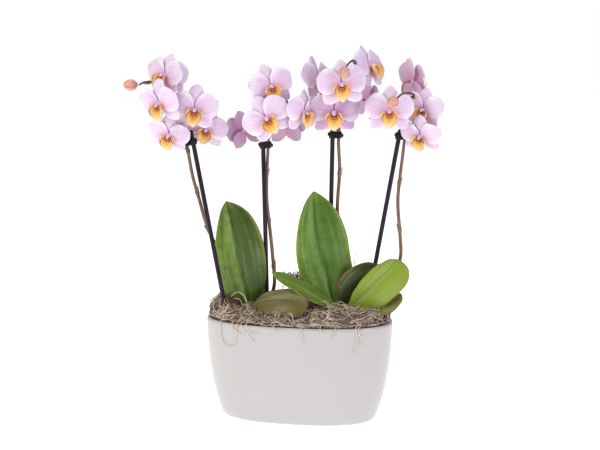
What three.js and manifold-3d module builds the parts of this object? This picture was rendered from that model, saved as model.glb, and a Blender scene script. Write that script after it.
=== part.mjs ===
// Potted orchid: two small moth orchids with four flower spikes in one oval glazed planter.
// Millimetres, +Z up. The origin is the centre of the planter's flat underside, X runs along the
// planter, and its front faces -Y.
import * as THREE from "three";
import { mergeVertices } from "three/addons/utils/BufferGeometryUtils.js";
import Module from "manifold-3d";

// Driving dimensions: the planter.
const PLANTER_LENGTH = 204;
const PLANTER_DEPTH = 104;
const PLANTER_HEIGHT = 110;
const PLANTER_WALL = 5;
const PLANTER_FLOOR = 6;
const PLANTER_BASE_SHARE = 0.8;
const OVAL_POWER = 2.4;
const SIDE_ROUNDNESS = 0.62;
const LIP_ROUND = 1.5;

// Driving dimensions: the two grow pots, their bark and the moss over them.
const POT_RECESS = 22;
const POT_WALL = 1;
const POT_CLEARANCE = 2;
const POT_TAPER = 11;
const POT_SIDES = 24;
const DRAIN_HOLES = 4;
const DRAIN_HOLE_RADIUS = 4;
const DRAIN_HOLE_CIRCLE = 18;
const BARK_DROP = 6;
const BARK_HEAP = 2;
const MOSS_RISE = 6;
const MOSS_CLEARANCE = 1;
const MOSS_TILT = 0.35;
const MOSS_RIPPLE = 0.9;

// Driving dimensions: the plants.
const PLANT_SPACING = 96.4;
const CROWN_RADIUS = 5;
const CROWN_TOP = 7;
const CROWN_BOTTOM = -50;
const ROOT_DEPTH = 68;
const ROOT_RADIUS = 2.2;
const STICK_RADIUS = 2.4;
const STICK_DEPTH = 70;
const STEM_RADIUS = 2;
const STALK_RADIUS = 1.1;
const STALK_LEAD = 8;
const CLIP_LENGTH = 7;
const CLIP_RIM = 1.8;
const CLIP_THICKNESS = 7.6;
const CLIP_NOSE = 2;
const LEAF_THICKNESS = 1.8;
const PETAL = { length: 27, width: 27, thickness: 1.2, lift: 1.2 };
const SEPAL = { length: 27, width: 16.5, thickness: 1.2, lift: -1.2 };
const LIP = { length: 20, width: 12, thickness: 2.4 };
const LIP_LOBE = { length: 11, width: 8, thickness: 1.8 };
const BUD_NECK_SHARE = 0.7;
const COLUMN_RADIUS = 3.4;
const COLUMN_BACK = 4.5;
const COLUMN_FRONT = 8;

// The clearance that is left wherever two pieces touch.
const GAP = 0.3;

const wasm = await Module();
wasm.setup();

const part = new THREE.Group();

function finish(color, roughness, metalness = 0) {
  return new THREE.MeshStandardMaterial({ color, roughness, metalness });
}

// A closed three.js geometry as a solid that can be joined and cut, turned to face outwards.
function solidOf(geometry) {
  const bare = geometry.clone();
  bare.deleteAttribute("normal");
  bare.deleteAttribute("uv");
  const merged = mergeVertices(bare, 1e-3);
  const vertProperties = new Float32Array(merged.attributes.position.array);
  const triVerts = new Uint32Array(merged.index.array);
  const made = new wasm.Manifold(new wasm.Mesh({ numProp: 3, vertProperties, triVerts }));
  if (made.volume() > 0) return made;
  for (let i = 0; i < triVerts.length; i += 3) {
    [triVerts[i + 1], triVerts[i + 2]] = [triVerts[i + 2], triVerts[i + 1]];
  }
  return new wasm.Manifold(new wasm.Mesh({ numProp: 3, vertProperties, triVerts }));
}

function geometryOf(solid) {
  const { vertProperties, triVerts, numProp } = solid.getMesh();
  const geometry = new THREE.BufferGeometry();
  const position = new Float32Array((vertProperties.length / numProp) * 3);
  for (let i = 0; i < position.length / 3; i += 1) {
    position.set(vertProperties.subarray(i * numProp, i * numProp + 3), i * 3);
  }
  geometry.setAttribute("position", new THREE.BufferAttribute(position, 3));
  geometry.setIndex(Array.from(triVerts));
  return geometry;
}

function place(name, solid, material) {
  const mesh = new THREE.Mesh(geometryOf(solid), material);
  mesh.name = name;
  part.add(mesh);
  return mesh;
}

// A closed skin over rings of points: each ring has as many points as the last, and both ends
// come to a cap around their middle, or to a single point where a ring has only one.
function loft(rings) {
  const points = [];
  const faces = [];
  const starts = rings.map((ring) => {
    const start = points.length;
    points.push(...ring);
    return start;
  });
  const middle = (ring) => {
    const sum = ring.reduce((total, p) => total.add(p), new THREE.Vector3());
    points.push(sum.divideScalar(ring.length));
    return points.length - 1;
  };
  for (let i = 0; i + 1 < rings.length; i += 1) {
    const count = Math.max(rings[i].length, rings[i + 1].length);
    const low = (k) => starts[i] + (k % rings[i].length);
    const high = (k) => starts[i + 1] + (k % rings[i + 1].length);
    for (let k = 0; k < count; k += 1) {
      if (rings[i].length > 1) faces.push(low(k), low(k + 1), high(k));
      if (rings[i + 1].length > 1) faces.push(low(k + 1), high(k + 1), high(k));
    }
  }
  const cap = (i, flip) => {
    if (rings[i].length === 1) return;
    const centre = middle(rings[i]);
    for (let k = 0; k < rings[i].length; k += 1) {
      const a = starts[i] + k;
      const b = starts[i] + ((k + 1) % rings[i].length);
      faces.push(...(flip ? [centre, b, a] : [centre, a, b]));
    }
  };
  cap(0, true);
  cap(rings.length - 1, false);
  const geometry = new THREE.BufferGeometry().setFromPoints(points);
  geometry.setIndex(faces);
  return solidOf(geometry);
}

// A round rod along a smooth line through the points.
function rod(points, radius, sides, steps) {
  const section = new THREE.Shape();
  for (let k = 0; k < sides; k += 1) {
    const angle = (k / sides) * 2 * Math.PI;
    const x = radius * Math.cos(angle);
    const y = radius * Math.sin(angle);
    if (k === 0) section.moveTo(x, y);
    else section.lineTo(x, y);
  }
  section.closePath();
  const path = new THREE.CatmullRomCurve3(points, false, "centripetal");
  return solidOf(new THREE.ExtrudeGeometry(section, { extrudePath: path, steps, bevelEnabled: false }));
}

function turned(profile, segments) {
  const outline = profile.map(([radius, height]) => new THREE.Vector2(radius, height));
  const geometry = new THREE.LatheGeometry(outline, segments);
  geometry.rotateX(Math.PI / 2);
  return solidOf(geometry);
}

// The planter: a superellipse in plan that swells from a smaller flat base to an upright rim.
function swell(height) {
  const share = Math.max(0, height) / PLANTER_HEIGHT;
  const rise = Math.sin((Math.PI / 2) * Math.min(1, share)) ** SIDE_ROUNDNESS;
  return PLANTER_BASE_SHARE + (1 - PLANTER_BASE_SHARE) * rise;
}

function oval(height, inset, scale = 1, segments = 36) {
  const halfLength = ((PLANTER_LENGTH / 2) * swell(height) - inset) * scale;
  const halfDepth = ((PLANTER_DEPTH / 2) * swell(height) - inset) * scale;
  return Array.from({ length: segments }, (_, k) => {
    const angle = (k / segments) * 2 * Math.PI;
    const cos = Math.cos(angle);
    const sin = Math.sin(angle);
    const x = halfLength * Math.sign(cos) * Math.abs(cos) ** (2 / OVAL_POWER);
    const y = halfDepth * Math.sign(sin) * Math.abs(sin) ** (2 / OVAL_POWER);
    return new THREE.Vector3(x, y, height);
  });
}

function buildPlanter() {
  const outside = [0, 0.04, 0.13, 0.32, 0.62].map((share) => oval(PLANTER_HEIGHT * share, 0));
  const lip = [
    oval(PLANTER_HEIGHT - LIP_ROUND, 0),
    oval(PLANTER_HEIGHT, LIP_ROUND),
    oval(PLANTER_HEIGHT, PLANTER_WALL - LIP_ROUND),
    oval(PLANTER_HEIGHT - LIP_ROUND, PLANTER_WALL),
  ];
  const inside = [0.62, 0.32, 0.13].map((share) => oval(PLANTER_HEIGHT * share, PLANTER_WALL));
  const floor = oval(PLANTER_FLOOR, PLANTER_WALL + 1);
  return loft([...outside, ...lip, ...inside, floor]);
}

place("planter", buildPlanter(), finish(0xe9e5e0, 0.25));

// Two tapered grow pots stand side by side on the planter's floor.
const potFoot = PLANTER_FLOOR + GAP;
const potTop = PLANTER_HEIGHT - POT_RECESS;
const innerLength = PLANTER_LENGTH * swell(potTop) - 2 * PLANTER_WALL;
const innerDepth = PLANTER_DEPTH * swell(potTop) - 2 * PLANTER_WALL;
const potRadius = Math.min(innerDepth / 2 - 2 * POT_CLEARANCE, innerLength / 4 - 3 * POT_CLEARANCE);
const potBaseRadius = potRadius - POT_TAPER;
const potOffset = potRadius + POT_CLEARANCE / 2;

function potRadiusAt(height) {
  return potBaseRadius + (POT_TAPER * (height - potFoot)) / (potTop - potFoot);
}

function buildGrowPot() {
  const inner = (height) => potRadiusAt(height) - POT_WALL;
  const shell = turned(
    [
      [0, potFoot],
      [potBaseRadius, potFoot],
      [potRadius, potTop],
      [potRadius - POT_WALL, potTop],
      [inner(potFoot + POT_WALL), potFoot + POT_WALL],
      [0, potFoot + POT_WALL],
    ],
    POT_SIDES,
  );
  const holes = Array.from({ length: DRAIN_HOLES }, (_, k) => {
    const hole = new THREE.CylinderGeometry(DRAIN_HOLE_RADIUS, DRAIN_HOLE_RADIUS, 6 * POT_WALL, 8);
    hole.rotateX(Math.PI / 2);
    const angle = (k / DRAIN_HOLES) * 2 * Math.PI;
    hole.translate(DRAIN_HOLE_CIRCLE * Math.cos(angle), DRAIN_HOLE_CIRCLE * Math.sin(angle), potFoot);
    return solidOf(hole);
  });
  return holes.reduce((left, hole) => left.subtract(hole), shell);
}

function buildBark() {
  const low = potFoot + POT_WALL + GAP;
  const high = potTop - BARK_DROP;
  const radius = (height) => potRadiusAt(height) - POT_WALL - GAP;
  const edge = [[0, low], [radius(low), low], [radius(high), high]];
  return turned([...edge, [radius(high) / 2, high + BARK_HEAP], [0, high]], POT_SIDES);
}

// Points of a plant are measured from the rim's level above the plant's own middle.
function plantPoint(side, [x, y, z]) {
  return new THREE.Vector3((side * PLANT_SPACING) / 2 + x, y, PLANTER_HEIGHT + z);
}

// Points down in a grow pot are a share of its radius there, so they stay inside its wall.
function potPoint(side, [shareX, shareY], depth) {
  const height = PLANTER_HEIGHT - depth;
  const radius = potRadiusAt(height);
  return new THREE.Vector3(side * potOffset + shareX * radius, shareY * radius, height);
}

// The crown is the short thick stem that leaves and roots grow from. The bark holds its roots.
const CROWNS = {
  left: { side: -1, at: [-4, -5], roots: [[0.45, -0.5], [-0.35, 0.5], [-0.65, -0.2], [-0.2, -0.74]] },
  right: { side: 1, at: [0, 3], roots: [[0.5, -0.4], [-0.15, -0.62], [-0.55, 0.15], [0.1, 0.66]] },
};

function buildCrown({ side, at: [x, y], roots }, grow) {
  const foot = plantPoint(side, [x, y, CROWN_BOTTOM]);
  const radius = CROWN_RADIUS + grow;
  const height = CROWN_TOP - CROWN_BOTTOM;
  const lower = [[0, -grow], [radius, height * 0.3], [radius, height - 3]];
  const body = turned([...lower, [radius / 2, height + grow], [0, height + grow]], 8);
  return roots.reduce((whole, root) => {
    const start = plantPoint(side, [x, y, -ROOT_DEPTH / 2]);
    const end = potPoint(side, root, ROOT_DEPTH);
    const bend = [[0.5, 0.12], [0.9, 0.48]].map(([out, down]) => {
      const point = start.clone().lerp(end, out);
      return point.setZ(start.z + (end.z - start.z) * down);
    });
    return whole.add(rod([start, ...bend, end], ROOT_RADIUS + grow, 5, 4));
  }, body.translate([foot.x, foot.y, foot.z]));
}

// Each spike has the foot of its stick in the pot and its top, the height of its clip, the line of
// its stem from the crown to the tip, and its blooms. A bloom stands at its column, turned and
// nodded from facing the front and rolled clockwise, and hangs on a stalk from one point of the
// stem, round a bend where it has one.
const SPIKES = [
  {
    side: -1,
    stick: { foot: [-0.56, -0.53], top: [-66, -26, 206] },
    clip: 193,
    stem: [
      [-12, 5, 11], [-27, 6, 41], [-44, 1, 74], [-53, -13, 104], [-59, -19, 131], [-65, -22, 155],
      [-70, -24, 186], [-72, -24, 199], [-75, -21, 212], [-80, -17, 226], [-88, -16, 238],
      [-97, -17, 247], [-104, -15, 252], [-111, -17, 255], [-116, -27, 256], [-119, -35, 254],
    ],
    blooms: [
      { at: [-91, -37, 264], turn: -32, nod: -8, roll: 8, size: 0.96, from: 11 },
      { at: [-92, -55, 236], turn: -26, nod: 14, roll: -6, size: 1, from: 10 },
      { at: [-87, -37, 201.5], turn: -8, nod: 24, roll: 10, size: 0.9, from: 8 },
      { at: [-59, -39, 229], turn: 12, nod: 4, roll: 6, size: 1, from: 8 },
      { at: [-52, -14, 206], turn: 6, nod: 16, roll: 16, size: 0.9, from: 8, by: [-79, -9, 208] },
      { at: [-97, 2, 262], turn: 24, nod: -14, roll: 8, size: 0.86, from: 10 },
    ],
    bud: { turn: -84, nod: 2, length: 16, width: 12.6 },
  },
  {
    side: -1,
    stick: { foot: [0.25, 0.08], top: [8, -3, 194] },
    clip: 189,
    stem: [
      [3, 3, 10], [10, 10, 15], [18, 9, 30], [17, 6, 68], [14, 5, 98], [11, 4, 128], [11, 3, 150],
      [13, 0, 184], [14, -1, 196], [22, 0, 208], [32, 2, 217], [36, 0, 228], [33, -3, 238], [28, -5, 245],
    ],
    blooms: [
      { at: [20, -21, 253], turn: 22, nod: -4, roll: -16, size: 0.94, from: 13 },
      { at: [18, -33, 221], turn: 9, nod: 6, roll: -36, size: 1.02, from: 10 },
      { at: [-15, 6, 203], turn: -138, nod: 8, roll: 14, size: 0.88, from: 8 },
      { at: [31, 16, 209], turn: 172, nod: 0, roll: 4, size: 0.86, from: 10 },
      { at: [54, -17, 226], turn: 54, nod: 4, roll: 0, size: 0.92, from: 11 },
    ],
  },
  {
    side: 1,
    stick: { foot: [-0.42, 0.62], top: [-16, 19, 206] },
    clip: 199,
    stem: [
      [-3, 16, 9], [-8, 24, 38], [-10, 27, 72], [-11, 26, 121], [-9, 26, 160], [-10, 22, 192],
      [-9, 20, 208], [-3, 17, 224], [7, 15, 239], [12, 10, 254], [13, 3, 267], [11, -8, 278],
      [11, -20, 282], [8, -29, 281], [5, -33, 277],
    ],
    blooms: [
      { at: [-11, -8, 226], turn: 8, nod: 10, roll: 0, size: 1.04, from: 7 },
      { at: [-1, -25, 257], turn: 10, nod: 0, roll: -4, size: 1, from: 9 },
      { at: [24, 14, 273], turn: 68, nod: -24, roll: 0, size: 1, from: 9 },
      { at: [21, 27, 237], turn: 128, nod: 0, roll: -8, size: 0.92, from: 8 },
      { at: [-33, 18, 258], turn: 66, nod: -12, roll: 0, size: 1, from: 7 },
    ],
    bud: { turn: -20, nod: 50, length: 13.5, width: 12.6 },
  },
  {
    side: 1,
    stick: { foot: [0.42, 0.75], top: [57, 20, 207] },
    clip: 199,
    stem: [
      [6, 9, 11], [25, 12, 27], [46, 13, 42], [56, 22, 55], [59, 28, 68], [58, 28, 88], [55, 26, 128],
      [57, 26, 155], [60, 24, 182], [62, 22, 206], [60, 14, 220], [61, 5, 232], [66, 0, 240],
      [73, -2, 245], [69, -8, 248], [62, -16, 248], [57, -20, 244],
    ],
    blooms: [
      { at: [48, -11, 229], turn: 6, nod: 5, roll: 0, size: 1, from: 10 },
      { at: [69, 33, 258], turn: 126, nod: -12, roll: -6, size: 1, from: 9 },
      { at: [82, 11, 229], turn: -24, nod: 2, roll: 10, size: 0.9, from: 9 },
      { at: [80, 4, 202], turn: -20, nod: 24, roll: 4, size: 0.9, from: 9 },
    ],
    bud: { turn: -30, nod: 26, length: 15, width: 12.6 },
  },
];

// The frame of a bloom: x to the right and y up as its face is looked at, z out of the face.
function facing(at, turn, nod, roll = 0) {
  const yaw = THREE.MathUtils.degToRad(turn);
  const dip = THREE.MathUtils.degToRad(nod);
  const out = new THREE.Vector3(Math.sin(yaw), -Math.cos(yaw), 0).multiplyScalar(Math.cos(dip));
  out.z = -Math.sin(dip);
  const right = new THREE.Vector3(Math.cos(yaw), Math.sin(yaw), 0);
  const up = new THREE.Vector3().crossVectors(out, right);
  const frame = new THREE.Matrix4().makeBasis(right, up, out);
  frame.multiply(new THREE.Matrix4().makeRotationZ(THREE.MathUtils.degToRad(-roll)));
  return frame.setPosition(at);
}

// One sepal, petal or lobe: a thin blade with a diamond section, pointing at a clock angle.
function blade(angle, { length, width, thickness }, shape, height) {
  const radians = THREE.MathUtils.degToRad(angle);
  const point = (along, across, z) => new THREE.Vector3(
    along * Math.sin(radians) + across * Math.cos(radians),
    along * Math.cos(radians) - across * Math.sin(radians),
    z,
  );
  const rings = shape.map(([share, spread]) => {
    const along = 1 + (length - 1) * share;
    const z = height(share);
    if (spread === 0) return [point(along, 0, z)];
    const half = (width / 2) * spread;
    const thick = thickness / 2;
    const faces = [point(along, 0, z + thick), point(along, 0, z - thick)];
    return [point(along, -half, z), faces[0], point(along, half, z), faces[1]];
  });
  return loft(rings);
}

const PETAL_SHAPE = [[0, 0], [0.32, 0.78], [0.62, 1], [0.88, 0.68], [1, 0]];
const SEPAL_SHAPE = [[0, 0], [0.3, 0.78], [0.72, 0.94], [1, 0]];
const LIP_SHAPE = [[0, 0], [0.35, 0.8], [0.75, 1], [1, 0]];
const LOBE_SHAPE = [[0, 0], [0.6, 1], [1, 0]];
const BUD_SHAPE = [[0, 0], [0.06, 0.34], [0.26, 0.84], [0.52, 1], [0.8, 0.72], [1, 0]];

function buildBloom() {
  const shaft = [[COLUMN_RADIUS, -1], [COLUMN_RADIUS * 0.8, COLUMN_FRONT * 0.7]];
  const column = turned([[0, -COLUMN_BACK], ...shaft, [0, COLUMN_FRONT]], 5);
  const behind = (share) => SEPAL.lift - 2 * share * share;
  const before = (share) => PETAL.lift + 3 * share * (1 - share);
  const lipRise = (share) => 2 + 22 * share * (1 - share) + 2 * share;
  const lobeRise = (share) => 2 + 8 * share;
  const blades = [
    ...[0, 134, -134].map((angle) => blade(angle, SEPAL, SEPAL_SHAPE, behind)),
    ...[72, -72].map((angle) => blade(angle, PETAL, PETAL_SHAPE, before)),
    blade(180, LIP, LIP_SHAPE, lipRise),
    ...[106, -106].map((angle) => blade(angle, LIP_LOBE, LOBE_SHAPE, lobeRise)),
  ];
  return blades.reduce((whole, piece) => whole.add(piece), column);
}

function buildBud({ length, width }) {
  return turned(BUD_SHAPE.map(([share, spread]) => [(width / 2) * spread, length * share]), 8);
}

function spikeParts(spike) {
  const { foot, top } = spike.stick;
  const stickPoints = [potPoint(spike.side, foot, STICK_DEPTH), plantPoint(spike.side, top)];
  const stemPoints = spike.stem.map((p) => plantPoint(spike.side, p));
  const blooms = spike.blooms.map((bloom) => {
    const frame = facing(plantPoint(spike.side, bloom.at), bloom.turn, bloom.nod, bloom.roll);
    return { ...bloom, frame };
  });
  return { stickPoints, stemPoints, blooms };
}

function buildStick({ stickPoints }, grow) {
  return rod(stickPoints, STICK_RADIUS + grow, 10, 1);
}

function buildStem({ stemPoints }, grow) {
  return rod(stemPoints, STEM_RADIUS + grow, 6, Math.round(stemPoints.length * 1.5));
}

// A bloom's stalk leaves the stem and comes straight in to the back of the bloom.
function buildStalk(from, side, { frame, size, by }) {
  const back = new THREE.Vector3(0, 0, -COLUMN_BACK * size - GAP).applyMatrix4(frame);
  const lead = new THREE.Vector3(0, 0, -COLUMN_BACK * size - STALK_LEAD).applyMatrix4(frame);
  const bend = by ? [plantPoint(side, by)] : [];
  return rod([from, ...bend, lead, back], STALK_RADIUS, 4, 4 + 3 * bend.length);
}

// The clip is a small block around stick and stem, with a blunt nose at each end.
function buildClip(parts, height) {
  const pick = (points) => {
    const path = new THREE.CatmullRomCurve3(points, false, "centripetal");
    const level = PLANTER_HEIGHT + height;
    const samples = path.getSpacedPoints(400);
    const off = (p) => Math.abs(p.z - level);
    return samples.reduce((best, p) => (off(p) < off(best) ? p : best));
  };
  const stick = pick(parts.stickPoints);
  const stem = pick(parts.stemPoints);
  const middle = stick.clone().add(stem).divideScalar(2);
  const across = stem.clone().sub(stick);
  const half = across.length() / 2 + STICK_RADIUS + CLIP_RIM;
  const shape = new THREE.Shape();
  shape.moveTo(-half, -CLIP_THICKNESS / 2);
  shape.lineTo(half, -CLIP_THICKNESS / 2);
  shape.lineTo(half + CLIP_NOSE, 0);
  shape.lineTo(half, CLIP_THICKNESS / 2);
  shape.lineTo(-half, CLIP_THICKNESS / 2);
  shape.lineTo(-half - CLIP_NOSE, 0);
  shape.closePath();
  const block = new THREE.ExtrudeGeometry(shape, { depth: CLIP_LENGTH, bevelEnabled: false });
  block.translate(0, 0, -CLIP_LENGTH / 2);
  const along = parts.stickPoints[1].clone().sub(parts.stickPoints[0]).normalize();
  const side = across.clone().addScaledVector(along, -across.dot(along)).normalize();
  const front = new THREE.Vector3().crossVectors(along, side);
  block.applyMatrix4(new THREE.Matrix4().makeBasis(side, front, along).setPosition(middle));
  return solidOf(block).subtract(buildStick(parts, GAP)).subtract(buildStem(parts, GAP));
}

// Leaves: the line of the midrib from the crown to the tip, the width, the direction across the
// blade, and how far its two halves fold up from the midrib.
const LEAVES = [
  {
    name: "leaf_left_tall",
    side: -1,
    rib: [[-7, -3, 12], [-12, -4, 40], [-19, -7, 76], [-25, -6, 103], [-33, -1, 126]],
    width: 53, across: [0.96, 0.1, 0.24], fold: 0.12, color: 0x3f7d2a,
  },
  {
    name: "leaf_left_front",
    side: -1,
    rib: [[3, -13, 12.5], [17, -26, 21], [38, -33, 23], [63, -36, 22.5]],
    width: 32, across: [0.1, -0.6, -0.75], fold: 0.1, color: 0x6e6436,
  },
  {
    name: "leaf_left_old",
    side: -1,
    rib: [[-9, -14, 11], [-16, -22, 18], [-27, -30, 25]],
    width: 17, across: [0.3, -0.8, -0.5], fold: 0.1, color: 0x7d6138,
  },
  {
    name: "leaf_left_back",
    side: -1,
    rib: [[-3, 10, 9], [-12, 22, 24], [-24, 36, 30], [-34, 50, 24]],
    width: 36, across: [0.9, 0.3, 0.1], fold: 0.14, color: 0x3f7d2a,
  },
  {
    name: "leaf_right_tall",
    side: 1,
    rib: [[-10, 7, 11], [-17, 11, 47], [-24, 5, 75], [-30, 5, 108], [-34, 10, 138]],
    width: 57, across: [0.98, 0.16, 0.12], fold: 0.12, color: 0x4a8a30,
  },
  {
    name: "leaf_right_reaching_left",
    side: 1,
    rib: [[-6, -5, 12], [-27, -13, 28], [-51, -17, 42], [-76, -20, 54]],
    width: 29, across: [0.35, -0.8, -0.45], fold: 0.12, color: 0x6fae45,
  },
  {
    name: "leaf_right_behind",
    side: 1,
    rib: [[2, 4, 14], [10, 3, 32], [24, 3, 46], [41, 8, 58]],
    width: 38, across: [0.75, 0.1, -0.6], fold: 0.12, color: 0x2f4a22,
  },
  {
    name: "leaf_right_bright",
    side: 1,
    rib: [[9, -4, 12], [31, -8, 29], [45, -9, 42], [57, -8, 53], [64, -5, 68]],
    width: 41, across: [0.7, 0.05, -0.7], fold: 0.12, color: 0x86b83c,
  },
  {
    name: "leaf_right_low",
    side: 1,
    rib: [[11, 3, 11], [30, 4, 13], [47, 5, 17], [63, 7, 28]],
    width: 22, across: [0.2, -0.85, -0.45], fold: 0.1, color: 0x77803c,
  },
];

// How far the blade has spread to its full width at each share of the leaf's length.
const LEAF_SHAPE = [
  [0, 0.2], [0.08, 0.45], [0.2, 0.88], [0.38, 1], [0.58, 0.96], [0.76, 0.76], [0.9, 0.43], [1, 0],
];

function buildLeaf({ side, rib, width, across, fold }) {
  const path = new THREE.CatmullRomCurve3(rib.map((p) => plantPoint(side, p)), false, "centripetal");
  const rings = LEAF_SHAPE.map(([share, spread]) => {
    const centre = path.getPointAt(share);
    if (spread === 0) return [centre];
    const along = path.getTangentAt(share);
    const right = new THREE.Vector3(...across);
    right.addScaledVector(along, -along.dot(right)).normalize();
    const up = new THREE.Vector3().crossVectors(along, right).negate();
    const half = (width / 2) * spread;
    const thick = LEAF_THICKNESS / 2;
    const point = (x, z) => {
      const rise = z + fold * half * Math.abs(x);
      return centre.clone().addScaledVector(right, x * half).addScaledVector(up, rise);
    };
    return [
      point(-1, 0), point(-0.5, thick), point(0, thick * 0.6), point(0.5, thick),
      point(1, 0), point(0.5, -thick), point(0, -thick * 1.6), point(-0.5, -thick),
    ];
  });
  return loft(rings);
}

// The moss: a shaggy heap over both pots, a little higher at its left end.
function buildMoss() {
  const inset = PLANTER_WALL + MOSS_CLEARANCE;
  const heap = (scale, height) => oval(PLANTER_HEIGHT - LIP_ROUND, inset, scale).map((p, k) => {
    const ripple = MOSS_RIPPLE * Math.sin(k * 2.1) * (1 - scale * scale);
    const rise = height * (1 - (MOSS_TILT * p.x) / PLANTER_LENGTH);
    return new THREE.Vector3(p.x, p.y, PLANTER_HEIGHT + rise + ripple);
  });
  const low = oval(potTop + GAP, inset);
  const edge = [heap(1, -LIP_ROUND), heap(0.95, MOSS_RISE * 0.6)];
  const top = [heap(0.78, MOSS_RISE), heap(0.4, MOSS_RISE * 0.8)];
  const middle = new THREE.Vector3(0, 0, PLANTER_HEIGHT + MOSS_RISE * 0.7);
  return loft([low, ...edge, ...top, [middle]]);
}

const potFinish = finish(0x3a2f28, 0.6);
const barkFinish = finish(0x5b4030, 0.95);
const plantFinish = finish(0x6f8a4a, 0.6);
const stickFinish = finish(0x1d171c, 0.4);
const stemFinish = finish(0x5a4a34, 0.5);
const bloomFinish = finish(0xe8cfe6, 0.55);
const budFinish = finish(0xd7957f, 0.5);
const mossFinish = finish(0xa89a86, 0.95);

const spikes = SPIKES.map((spike) => spikeParts(spike));
const sticksIn = (side) => spikes.filter((_, i) => SPIKES[i].side === side);
let moss = buildMoss();
for (const [name, crown] of Object.entries(CROWNS)) {
  const offset = crown.side * potOffset;
  const room = buildCrown(crown, GAP);
  const sticks = sticksIn(crown.side).map((parts) => buildStick(parts, GAP));
  const cut = (solid) => sticks.reduce((left, stick) => left.subtract(stick), solid.subtract(room));
  place("grow_pot_" + name, buildGrowPot().translate([offset, 0, 0]), potFinish);
  place("bark_" + name, cut(buildBark().translate([offset, 0, 0])), barkFinish);
  place("plant_body_" + name, buildCrown(crown, 0), plantFinish);
  moss = cut(moss);
}
place("moss", moss, mossFinish);

LEAVES.forEach((leaf) => place(leaf.name, buildLeaf(leaf), finish(leaf.color, 0.35)));

const bloomSolid = buildBloom();
SPIKES.forEach((spike, i) => {
  const parts = spikes[i];
  const number = i + 1;
  place("support_stick_" + number, buildStick(parts, 0), stickFinish);
  place("stem_clip_" + number, buildClip(parts, spike.clip), stickFinish);
  const stalks = parts.blooms.map((bloom) => buildStalk(parts.stemPoints[bloom.from], spike.side, bloom));
  const stem = stalks.reduce((whole, stalk) => whole.add(stalk), buildStem(parts, 0));
  place("flower_spike_" + number, stem, stemFinish);
  parts.blooms.forEach((bloom, k) => {
    const mesh = place("bloom_" + number + "_" + (k + 1), bloomSolid, bloomFinish.clone());
    mesh.applyMatrix4(bloom.frame.clone().scale(new THREE.Vector3(1, 1, 1).multiplyScalar(bloom.size)));
  });
  if (spike.bud) {
    const tip = parts.stemPoints.at(-1);
    const frame = facing(tip, spike.bud.turn, spike.bud.nod);
    const bud = place("bud_" + number, buildBud(spike.bud), budFinish.clone());
    bud.applyMatrix4(frame.multiply(new THREE.Matrix4().makeTranslation(0, 0, STEM_RADIUS * BUD_NECK_SHARE)));
  }
});

export default part;
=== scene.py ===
# Potted orchid: two small moth orchids with four flower spikes in one oval glazed planter.
# Metres, +Z up. The origin is the middle of the planter's underside, and its front faces -Y.
import math
import random

import bpy
import numpy as np
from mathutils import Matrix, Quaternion, Vector


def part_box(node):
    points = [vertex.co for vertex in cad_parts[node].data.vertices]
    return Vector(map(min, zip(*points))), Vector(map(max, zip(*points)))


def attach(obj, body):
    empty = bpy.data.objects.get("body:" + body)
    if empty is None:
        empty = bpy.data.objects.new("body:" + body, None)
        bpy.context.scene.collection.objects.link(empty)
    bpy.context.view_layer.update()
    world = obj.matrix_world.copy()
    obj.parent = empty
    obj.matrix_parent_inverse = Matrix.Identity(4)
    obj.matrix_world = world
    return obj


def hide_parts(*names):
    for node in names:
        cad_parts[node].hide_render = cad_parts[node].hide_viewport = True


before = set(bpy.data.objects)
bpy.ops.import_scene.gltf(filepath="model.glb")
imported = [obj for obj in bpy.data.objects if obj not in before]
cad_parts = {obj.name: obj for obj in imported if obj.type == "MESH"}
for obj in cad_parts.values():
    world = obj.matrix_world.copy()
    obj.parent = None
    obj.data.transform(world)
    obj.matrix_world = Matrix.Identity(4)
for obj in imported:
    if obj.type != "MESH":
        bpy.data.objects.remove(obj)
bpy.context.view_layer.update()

# The setting: a plain pale floor, a soft lamp high on the left, a weaker one on the right, one
# overhead and even white light all round. The camera is a little above the flowers, to the right.
CAMERA_PLACE = (0.2503, -1.5803, 0.5)
CAMERA_AIM = (0, 0, 0.2125)
CAMERA_ROLL = math.radians(0.3)
FILM_WIDTH = 36
LENS = 90.18
WORLD_LIGHT = 0.31
WORLD_SEEN = 1.0
camera_data = bpy.data.cameras.new("camera")
camera_data.sensor_width = FILM_WIDTH
camera_data.lens = LENS
camera = bpy.data.objects.new("camera", camera_data)
camera.location = CAMERA_PLACE
look = (Vector(CAMERA_AIM) - camera.location).to_track_quat("-Z", "Y")
camera.rotation_mode = "QUATERNION"
camera.rotation_quaternion = look @ Quaternion((0, 0, 1), CAMERA_ROLL)
bpy.context.scene.collection.objects.link(camera)
bpy.context.scene.camera = camera
bpy.context.scene.view_settings.view_transform = "Standard"


def soft_lamp(name, place, aim, size, watts, color):
    """A rectangular lamp that points at its aim."""
    data = bpy.data.lights.new(name, "AREA")
    data.shape = "RECTANGLE"
    data.size, data.size_y = size
    data.energy = watts
    data.color = color
    lamp = bpy.data.objects.new(name, data)
    lamp.location = place
    lamp.rotation_euler = (Vector(aim) - Vector(place)).to_track_quat("-Z", "Y").to_euler()
    bpy.context.scene.collection.objects.link(lamp)


soft_lamp("lamp_left", (-1.3, -1.2, 1.3), (0, 0, 0.2), (0.8, 1.1), 20, (1.0, 0.965, 0.91))
soft_lamp("lamp_right", (1.5, -0.9, 0.8), (0, 0, 0.15), (0.5, 1.2), 10, (0.91, 0.87, 1.0))
soft_lamp("lamp_top", (0.1, 0.3, 1.7), (0, 0, 0.2), (1.4, 1.0), 9, (1.0, 1.0, 1.0))

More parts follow.
